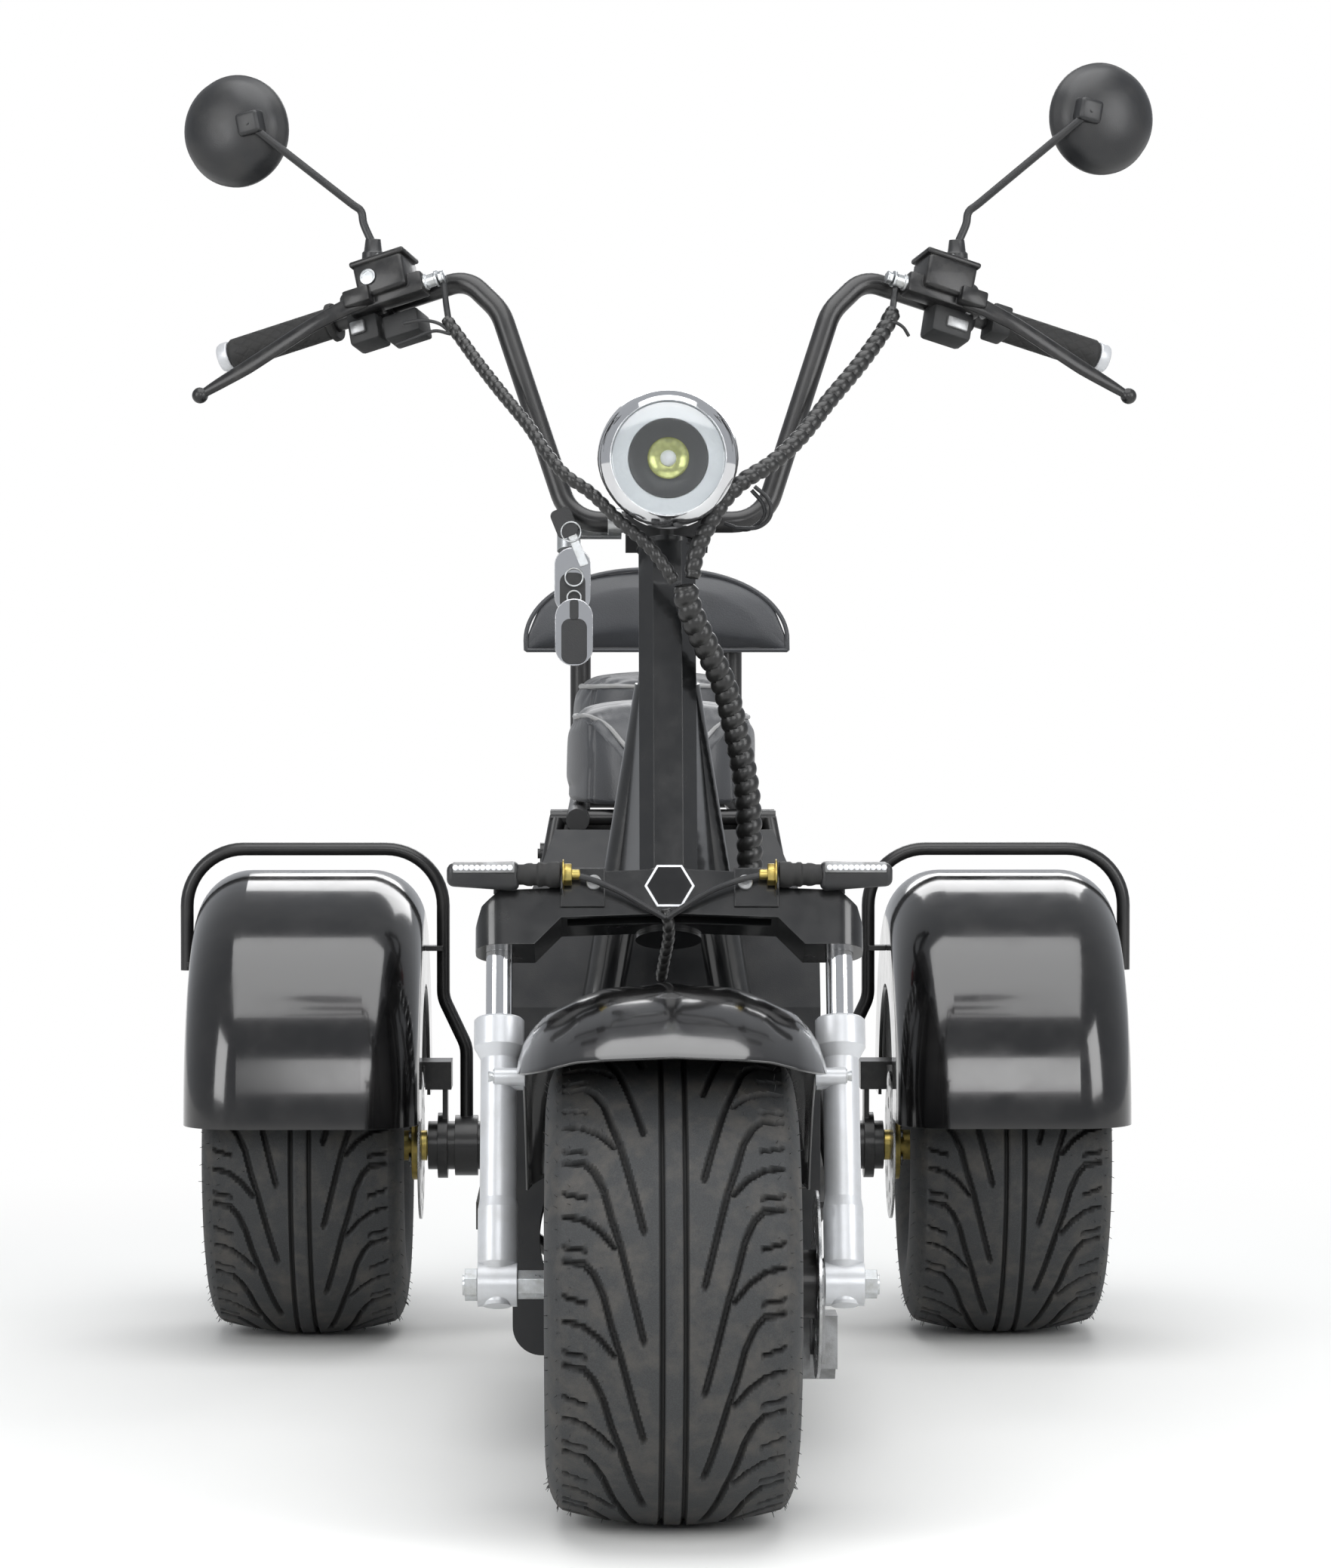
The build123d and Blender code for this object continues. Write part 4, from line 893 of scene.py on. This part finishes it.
def buildMasterCylinders():
    body, bright, glass = bmesh.new(), bmesh.new(), bmesh.new()
    for side in (1, -1):
        matrix = barMatrix(side)
        turnOutline(body, [(control + lift, radius) for lift, radius in (
            (-0.011, 0.0115), (-0.011, 0.0165), (0.011, 0.0165), (0.011, 0.0115), (-0.011, 0.0115))], matrix, 40)
        addBlock(body, matrix, (0.029, 0.003, control - 0.016), (0.024, 0.024, 0.088), 0.004)
        addBlock(body, matrix, (0.022, 0.0, control + 0.002), (0.020, 0.030, 0.018), 0.002)
        upright = matrix @ Matrix.Rotation(math.radians(90), 4, "X")
        addBlock(body, upright, (0.030, control - 0.018, 0.012), (0.040, 0.054, 0.036), 0.004, 3, (1.06, 1.04))
        addBlock(body, upright, (0.030, control - 0.018, 0.0325), (0.043, 0.062, 0.006), 0.0022, 3)
        addBlock(body, matrix, (0.044, 0.004, control + 0.010), (0.022, 0.018, 0.030), 0.003)
        for x in (0.016, 0.044):
            addCapScrew(bright, matrix @ Vector((x, -0.0355, control - 0.018)),
                        matrix.to_3x3() @ Vector((0, -1, 0)), 0.0032, 0.002)
        banjo = matrix @ Vector((0.030, 0.003, control - 0.060))
        inward = matrix.to_3x3() @ Vector((0, 0, -1))
        turnOutline(bright, [(0.0, 0.0), (0.0, 0.0085), (0.0025, 0.0085), (0.0030, 0.0070), (0.0120, 0.0070),
                             (0.0125, 0.0085), (0.0150, 0.0085), (0.0150, 0.0)], pointing(banjo, inward), 28)
        addHexHead(bright, banjo + inward * 0.015, inward, 0.012, 0.006, washer=False)
    sight = barMatrix(-1)
    turnOutline(glass, [(0.0, 0.0085), (0.002, 0.0085), (0.0022, 0.0065), (0.001, 0.0062), (0.0012, 0.0)],
                pointing(sight @ Vector((0.0508, -0.013, control - 0.006)), sight.to_3x3() @ Vector((1, 0, 0))), 32)
    addPiece("master_cylinder_pair", body, "steering", "blackAlloy", ("master_cylinders",))
    addPiece("banjo_bolts", bright, "steering", "brightZinc")
    addPiece("sight_glass", glass, "steering", "brightZinc")


def buildSwitches():
    body, keys = bmesh.new(), bmesh.new()
    right, left = barMatrix(-1), barMatrix(1)
    for bm, matrix, (x, y, z), size, edge, segments in (
            (body, right, (0.006, 0.022, 0.020), (0.034, 0.040, 0.034), 0.004, 2),
            (body, right, (0.004, 0.034, -0.022), (0.036, 0.026, 0.040), 0.003, 2),
            (body, right, (-0.010, -0.010, 0.036), (0.034, 0.036, 0.026), 0.008, 4),
            (body, left, (0.014, 0.026, 0.000), (0.034, 0.036, 0.046), 0.005, 2),
            (body, left, (-0.008, -0.004, 0.020), (0.046, 0.058, 0.030), 0.012, 4),
            (body, left, (0.008, 0.004, 0.058), (0.030, 0.034, 0.022), 0.003, 2),
            (keys, left, (0.032, 0.030, 0.004), (0.006, 0.012, 0.024), 0.002, 2),
            (keys, right, (0.026, 0.026, 0.024), (0.006, 0.014, 0.016), 0.002, 2)):
        addBlock(bm, matrix, (x, y, control + z), size, edge, segments)
    for z in (0.014, 0.030):
        addCapScrew(keys, left @ Vector((0.0310, 0.012, control + z)), left.to_3x3() @ Vector((1, 0, 0)),
                    0.0042, 0.003)
    addPiece("switch_boxes", body, "steering", "mattePlastic", ("switch_pods",))
    addPiece("switch_keys", keys, "steering", "castAlloy")


def buildMirrors():
    # Round heads turned towards the rider; the arm enters a socket on the inner side of the shell
    mirrorSet = dict(heads={1: (1459.6, 159), -1: (314.5, 177)}, station=0.455, turn=22, arm=0.0042)
    shell, glass, arms = bmesh.new(), bmesh.new(), bmesh.new()
    turn = math.radians(mirrorSet["turn"])
    for side in (1, -1):
        pole = Vector((side * math.sin(turn), -math.cos(turn), 0))
        head = photoPoint(*mirrorSet["heads"][side], mirrorSet["station"])
        turnOutline(shell, [(-0.006, 0.0), (-0.006, 0.0535), (-0.010, 0.0545), (-0.010, 0.0575), (-0.007, 0.0585),
                            (-0.001, 0.0585), (0.001, 0.0570), (0.010, 0.0545), (0.019, 0.0475), (0.026, 0.0370),
                            (0.0305, 0.0240), (0.0325, 0.0110), (0.0330, 0.0)], pointing(head, pole), 64)
        turnOutline(glass, [(-0.0085, 0.0), (-0.0085, 0.0536), (-0.0065, 0.0536), (-0.0065, 0.0)],
                    pointing(head, pole), 64)
        across = Vector((-side * math.cos(turn), -math.sin(turn), 0))
        socket = head + across * 0.031 + pole * 0.034 + Vector((0, 0, 0.004))
        facing = Matrix((across, -pole, (0, 0, 1))).transposed().to_4x4()
        tilted = Matrix.Translation(socket - pole * 0.007) @ facing @ Matrix.Rotation(math.radians(-12), 4, "Y")
        addBlock(shell, tilted, (0, 0, 0), (0.026, 0.020, 0.024), 0.004, 3)
        foot = barMatrix(side) @ Vector((0.030, -0.0350, control - 0.006))
        turnOutline(shell, [(-0.003, 0.0), (-0.003, 0.0120), (0.012, 0.0115), (0.014, 0.0095), (0.026, 0.0080),
                            (0.027, 0.0)], Matrix.Translation(foot), 32)
        bend = foot + Vector((side * 0.013, 0.006, 0.056))
        route = [foot + Vector((0, 0, 0.020)), foot.lerp(bend, 0.75), bend, bend + (socket - bend) * 0.10,
                 bend.lerp(socket, 0.5), socket]
        tube(arms, smoothPath(route, 10), mirrorSet["arm"], 16)
    addPiece("mirror_shells", shell, "steering", "satinPlastic", ("mirrors",), 40)
    addPiece("mirror_arms", arms, "steering", "satinPlastic")
    addPiece("mirror_glasses", glass, "steering", "chromePlate")


buildGrips()
buildLevers()
buildMirrors()
buildMasterCylinders()
buildSwitches()
print("controls")


# Front signals on their bracket plates, with boots, nuts and wires

def buildSignals():
    signal = dict(station=0.0926, height=0.618, inner=0.147, outer=0.2155, lensCells=11)
    body, boot, lens, bright, plates, strip, screws = (bmesh.new() for _ in range(7))
    for side in (1, -1):
        flip = Matrix.Diagonal((side, 1, 1, 1))
        centre = flip @ Matrix.Translation(atStation(0, signal["station"], signal["height"]))
        length = signal["outer"] - signal["inner"]
        made = bmesh.ops.create_cube(body, size=1)["verts"]
        for vert in made:
            out = vert.co.x > 0
            vert.co = (signal["inner"] + length * (1 if out else 0) + (0.002 if out else 0),
                       vert.co.y * (0.026 if out else 0.022), vert.co.z * (0.022 if out else 0.026))
            if vert.co.z < 0 and not out:
                vert.co.z -= 0.003
        placeBevelled(body, made, list({e for v in made for e in v.link_edges}), centre, 0.0065, 4)
        addBlock(strip, centre, (signal["inner"] + length / 2, -0.0112, 0.0075),
                 (length - 0.008, 0.0060, 0.0105), 0.0015)
        for cell in range(signal["lensCells"]):
            x = signal["inner"] + 0.006 + (length - 0.010) * (cell + 0.5) / signal["lensCells"]
            turnOutline(lens, [(-0.001, 0.0), (-0.001, 0.0029), (0.0008, 0.0028), (0.0018, 0.0016), (0.0021, 0.0)],
                        pointing(centre @ Vector((x, -0.0142, 0.0075)), (0, -1, 0)), 12)
        turnOutline(boot, [(0.107, 0.0), (0.107, 0.0120), (0.110, 0.0128), (0.118, 0.0125), (0.120, 0.0112),
                           (0.123, 0.0112), (0.125, 0.0122), (0.128, 0.0122), (0.130, 0.0106), (0.133, 0.0106),
                           (0.135, 0.0114), (0.139, 0.0112), (0.143, 0.0100), (0.149, 0.0100), (0.149, 0.0)],
                    centre @ Matrix.Rotation(math.radians(90), 4, "Y"), 36)
        addHexHead(bright, centre @ Vector((0.1045, 0, 0)), (-side, 0, 0), 0.019, 0.008)
        turnOutline(bright, [(0.0, 0.0), (0.0, 0.0052), (0.008, 0.0052), (0.009, 0.0044), (0.009, 0.0)],
                    pointing(centre @ Vector((0.0965, 0, 0)), (-side, 0, 0)), 20)
        tilt = forkAxes @ flip
        addBlock(plates, tilt, (0.085, -0.0795, 0.388), (0.044, 0.0025, 0.040), 0.0008, 1)
        addBlock(plates, tilt, (0.1055, -0.0905, 0.394), (0.0025, 0.022, 0.028), 0.0008, 1)
        addCapScrew(screws, tilt @ Vector((0.074, -0.081, 0.392)), forkTurn @ Vector((0, -1, 0)), 0.0075, 0.005)
    addPiece("signal_bodies", body, "steering", "satinPlastic", ("front_signals",))
    addPiece("signal_boots", boot, "steering", "gripRubber")
    addPiece("signal_lenses", lens, "steering", "whiteEnamel")
    addPiece("signal_nuts", bright, "steering", "yellowZinc")
    addPiece("signal_strips", strip, "steering", "castAlloy")
    addPiece("signal_screws", screws, "steering", "castAlloy")
    addPiece("signal_plates", plates, "steering", "crownPaint")


def buildBadge():
    # A plain hexagon plate with a pale edge; nothing is drawn on it
    badge = dict(across=0.043, edge=0.0022, thick=0.0016)
    facing = forkAxes @ Matrix.Translation((0, -0.0785, 0.390)) @ Matrix.Rotation(math.radians(90), 4, "X")
    rim, field = bmesh.new(), bmesh.new()
    for bm, across, lift in ((rim, badge["across"], 0.0), (field, badge["across"] - 2 * badge["edge"], 0.0006)):
        made = bmesh.ops.create_cone(bm, cap_ends=True, segments=6, radius1=across / 1.732, radius2=across / 1.76,
                                     depth=badge["thick"])["verts"]
        bmesh.ops.rotate(bm, cent=(0, 0, 0), matrix=Matrix.Rotation(math.radians(30), 3, "Z"), verts=made)
        bmesh.ops.translate(bm, vec=(0, 0, lift), verts=made)
        bmesh.ops.transform(bm, matrix=facing, verts=made)
    addPiece("badge_edge", rim, "steering", "whiteEnamel")
    addPiece("badge_field", field, "steering", "glossPaint")


def buildMudguard():
    # The section falls steeply at its sides, and the front lip sweeps back towards its corners
    guard = dict(radius=0.290, half=0.1470, waist=0.97, rear=18, crest=0.2332, wall=0.003, across=48, along=72,
                 shares=(0, 0.43, 0.62, 0.82, 0.91, 0.97, 1), falls=(0, 0.006, 0.015, 0.030, 0.044, 0.058, 0.072),
                 lips=(0, 0.003, 0.006, 0.0145, 0.019, 0.0225, 0.025))
    bm = bmesh.new()
    bmesh.ops.create_grid(bm, x_segments=guard["across"], y_segments=guard["along"], size=0.5)
    for vert in bm.verts:
        share, way = vert.co.x * 2, vert.co.y + 0.5
        share = math.sin(share * math.pi / 2)
        radius = guard["radius"] - float(np.interp(abs(share), guard["shares"], guard["falls"]))
        lip = guard["crest"] - float(np.interp(abs(share), guard["shares"], guard["lips"]))
        front = 180 - math.degrees(math.asin(min(0.999, lip / radius)))
        turn = math.radians(guard["rear"] + way * (front - guard["rear"]))
        narrow = 1 - (1 - guard["waist"]) * (1 - way)
        vert.co = (share * guard["half"] * narrow, frontAxleY + radius * math.cos(turn),
                   axleHeight + radius * math.sin(turn))
    bmesh.ops.recalc_face_normals(bm, faces=bm.faces)
    if sum(f.normal.z for f in bm.faces) < 0:
        bmesh.ops.reverse_faces(bm, faces=bm.faces)
    bmesh.ops.solidify(bm, geom=list(bm.faces), thickness=guard["wall"])
    rims = [e for e in bm.edges if e.is_manifold and e.calc_face_angle(0) > math.radians(60)]
    bmesh.ops.bevel(bm, geom=rims, offset=0.0009, segments=2, profile=0.5, affect="EDGES", material=-1)
    addPiece("mudguard_shell", bm, "steering", "glossPaint", ("front_mudguard",), 50)
    stays = bmesh.new()
    for side in (1, -1):
        turnOutline(stays, [(0.0, 0.0), (0.0, 0.011), (0.014, 0.011), (0.016, 0.0095), (0.016, 0.0)],
                    pointing(forkAxes @ Vector((side * 0.1420, -0.052, 0.2020)), (side, 0, 0)), 28)
    addPiece("mudguard_bosses", stays, "steering", "silverPaint")


buildSignals()
buildBadge()
buildMudguard()
print("signals and mudguard")


# Key set below the bar: black key in its lock, steel tags and a remote, all plain

def buildKeys():
    black, steel, chrome = bmesh.new(), bmesh.new(), bmesh.new()
    upright, hanging = Matrix(), Matrix.Rotation(math.radians(-22), 4, "Y")
    for bm, place, turned, size, corner in (
            (black, (748, 693, 0.292), hanging, (0.022, 0.030, 0.008), 0.006),
            (steel, (766, 728, 0.290), hanging, (0.009, 0.036, 0.0022), 0.001),
            (chrome, (759, 770, 0.300), upright, (0.037, 0.068, 0.003), 0.018),
            (black, (759, 785, 0.2975), upright, (0.026, 0.040, 0.002), 0.010),
            (chrome, (761, 838, 0.286), upright, (0.0385, 0.068, 0.009), 0.0185),
            (black, (761, 850, 0.2805), upright, (0.026, 0.046, 0.0030), 0.009),
            (black, (761, 808, 0.2800), upright, (0.009, 0.020, 0.0030), 0.003)):
        addPlate(bm, Matrix.Translation(photoPoint(*place)) @ turned, *size, corner)
    for px, py, radius in ((757, 705, 0.010), (761, 765, 0.009), (761, 792, 0.007)):
        ring = [photoPoint(px, py, 0.288) + Vector((math.cos(a) * radius, 0, math.sin(a) * radius))
                for a in [math.tau * k / 24 for k in range(24)]]
        tube(steel, ring, 0.0009, 6, closed=True)
    addPiece("key_head", black, "steering", "satinPlastic")
    addPiece("key_blade", steel, "steering", "brightZinc")
    addPiece("key_tags", chrome, "steering", "chromePlate")


buildKeys()


# Fasteners on the fork and the wheels; the springs of the rear dampers

def buildFasteners():
    zinc, black = bmesh.new(), bmesh.new()
    upward = forkTurn @ Vector((0, 0, 1))
    for side in (1, -1):
        addHexHead(zinc, onFork(side * 0.1705, -0.059, 0.202), (side, 0, 0), 0.010, 0.005)
        for y in (-0.066, -0.024):
            addCapScrew(black, onFork(side * 0.1665, y, 0.386), upward, 0.006, 0.006)
        for x in (0.030, -0.030):
            addCapScrew(black, onFork(x, side * 0.017, 0.824), upward, 0.0055, 0.005)
    addPiece("fork_fasteners", zinc, "steering", "brightZinc")
    addPiece("clamp_screws", black, "steering", "blackAlloy")
    discBolts = dict(count=5, circle=0.024, across=0.008, height=0.003)
    for name, body, x, y, side in (("front", "front_wheel", 0.1415, frontAxleY, 1),
                                   ("rear_left", "rear_wheel_left", 0.2985, rearAxleY, 1),
                                   ("rear_right", "rear_wheel_right", -0.2985, rearAxleY, -1)):
        bm = bmesh.new()
        for index in range(discBolts["count"]):
            turn = math.tau * index / discBolts["count"]
            place = Vector((x, y + discBolts["circle"] * math.cos(turn),
                            axleHeight + discBolts["circle"] * math.sin(turn)))
            addHexHead(bm, place, (side, 0, 0), discBolts["across"], discBolts["height"])
        addPiece(name + "_disc_bolts", bm, body, "brightZinc")


def buildSprings():
    spring = dict(x=0.130, foot=(1.225, 0.264), top=(1.085, 0.596), radius=0.0255, wire=0.0048, turns=8.5,
                  lower=0.06, upper=0.06)
    foot = atStation(0, *spring["foot"])
    top = atStation(0, *spring["top"])
    axis = (top - foot).normalized()
    length = (top - foot).length - spring["lower"] - spring["upper"]
    bm = bmesh.new()
    for side in (1, -1):
        base = pointing(foot + Vector((side * spring["x"], 0, 0)) + axis * spring["lower"], axis)
        steps = int(spring["turns"] * 20)
        helix = [base @ Vector((spring["radius"] * math.cos(math.tau * spring["turns"] * k / steps),
                                spring["radius"] * math.sin(math.tau * spring["turns"] * k / steps),
                                length * k / steps)) for k in range(steps + 1)]
        tube(bm, helix, spring["wire"], 8)
    addPiece("damper_springs", bm, "chassis", "chromePlate")


buildFasteners()
buildSprings()
print("trim")


# Camera, floor and light

def makeCamera():
    camera = bpy.data.objects.new("productCamera", bpy.data.cameras.new("productCamera"))
    bpy.context.scene.collection.objects.link(camera)
    camera.data.sensor_fit = "VERTICAL"
    camera.data.sensor_height = 36
    camera.data.lens = photograph["focalPixels"] / photograph["height"] * 36
    camera.location = atStation(photograph["cameraX"], photograph["cameraStation"], photograph["cameraHeight"])
    turn = Matrix.Rotation(math.radians(-photograph["yawDeg"]), 4, "Z")
    tilt = Matrix.Rotation(math.radians(90 + photograph["pitchDeg"]), 4, "X")
    camera.rotation_euler = (turn @ tilt).to_euler()
    bpy.context.scene.camera = camera


def makeStudio():
    studio = dict(worldLight=0.55, floorHalf=14.0, floorColour="#e6e6e4", fadeFrom=1.1, fadeTo=2.6)
    world = bpy.data.worlds.new("studio")
    bpy.context.scene.world = world
    world.use_nodes = True
    tree = world.node_tree
    tree.nodes.clear()
    path = addNode(tree, "ShaderNodeLightPath")
    seen = addNode(tree, "ShaderNodeMath", {0: path.outputs["Is Camera Ray"], 1: path.outputs["Is Transmission Ray"]},
                   operation="MAXIMUM")
    plain = addNode(tree, "ShaderNodeBackground", {"Color": toLinear("#eef1f6"), "Strength": studio["worldLight"]})
    white = addNode(tree, "ShaderNodeBackground", {"Color": (1, 1, 1, 1), "Strength": 1.0})
    mix = addNode(tree, "ShaderNodeMixShader", {0: seen.outputs[0], 1: plain.outputs[0], 2: white.outputs[0]})
    addNode(tree, "ShaderNodeOutputWorld", {"Surface": mix.outputs[0]})

    bm = bmesh.new()
    bmesh.ops.create_grid(bm, x_segments=2, y_segments=2, size=studio["floorHalf"])
    mesh = bpy.data.meshes.new("studioFloor")
    bm.to_mesh(mesh)
    bm.free()
    floor = bpy.data.objects.new("studioFloor", mesh)
    bpy.context.scene.collection.objects.link(floor)
    # matt pale paper that keeps the contact shadows and fades into pure white
    tree, place = startMaterial("floorPaper")
    flat = addNode(tree, "ShaderNodeVectorMath", {0: place}, operation="LENGTH")
    fade = addNode(tree, "ShaderNodeMapRange", {"Value": flat.outputs["Value"], "From Min": studio["fadeFrom"],
                                                "From Max": studio["fadeTo"]}, interpolation_type="SMOOTHSTEP")
    path = addNode(tree, "ShaderNodeLightPath")
    seen = addNode(tree, "ShaderNodeMath", {0: path.outputs["Is Camera Ray"], 1: path.outputs["Is Glossy Ray"]},
                   operation="MAXIMUM")
    seen = addNode(tree, "ShaderNodeMath", {0: seen.outputs[0], 1: path.outputs["Is Transmission Ray"]},
                   operation="MAXIMUM")
    share = addNode(tree, "ShaderNodeMath", {0: seen.outputs[0], 1: fade.outputs[0]}, operation="MULTIPLY")
    paper = addNode(tree, "ShaderNodeBsdfPrincipled", {"Base Color": toLinear(studio["floorColour"]),
                                                       "Roughness": 0.9})
    glow = addNode(tree, "ShaderNodeEmission", {"Color": (1, 1, 1, 1), "Strength": 1.0})
    mix = addNode(tree, "ShaderNodeMixShader", {0: share.outputs[0], 1: paper.outputs[0], 2: glow.outputs[0]})
    addNode(tree, "ShaderNodeOutputMaterial", {"Surface": mix.outputs[0]})
    mesh.materials.append(materials["floorPaper"])


# Softboxes: place, aim, width, height in metres and power in watts
softboxes = {
    "topBox": ((0.0, -0.6, 3.2), (0, 0, 0.5), 2.6, 2.6, 70),
    "leftBox": ((-2.8, -2.6, 1.8), (0, -0.2, 0.6), 1.6, 2.2, 60),
    "rightBox": ((2.8, -2.4, 1.9), (0, -0.2, 0.6), 1.6, 2.2, 60),
    "frontBox": ((0.3, -4.8, 2.2), (0, -0.4, 0.7), 2.2, 1.6, 60),
    "backBox": ((0.4, 3.4, 2.4), (0, 0.3, 0.6), 2.4, 1.8, 45),
}


def makeLights():
    for name, (place, aim, width, height, power) in softboxes.items():
        light = bpy.data.lights.new(name, "AREA")
        light.shape = "RECTANGLE"
        light.size = width
        light.size_y = height
        light.energy = power
        lamp = bpy.data.objects.new(name, light)
        lamp.location = place
        lamp.rotation_euler = (Vector(aim) - Vector(place)).to_track_quat("-Z", "Y").to_euler()
        bpy.context.scene.collection.objects.link(lamp)


makeCamera()
makeStudio()
makeLights()
bpy.context.scene.view_settings.view_transform = "Standard"
print("studio")
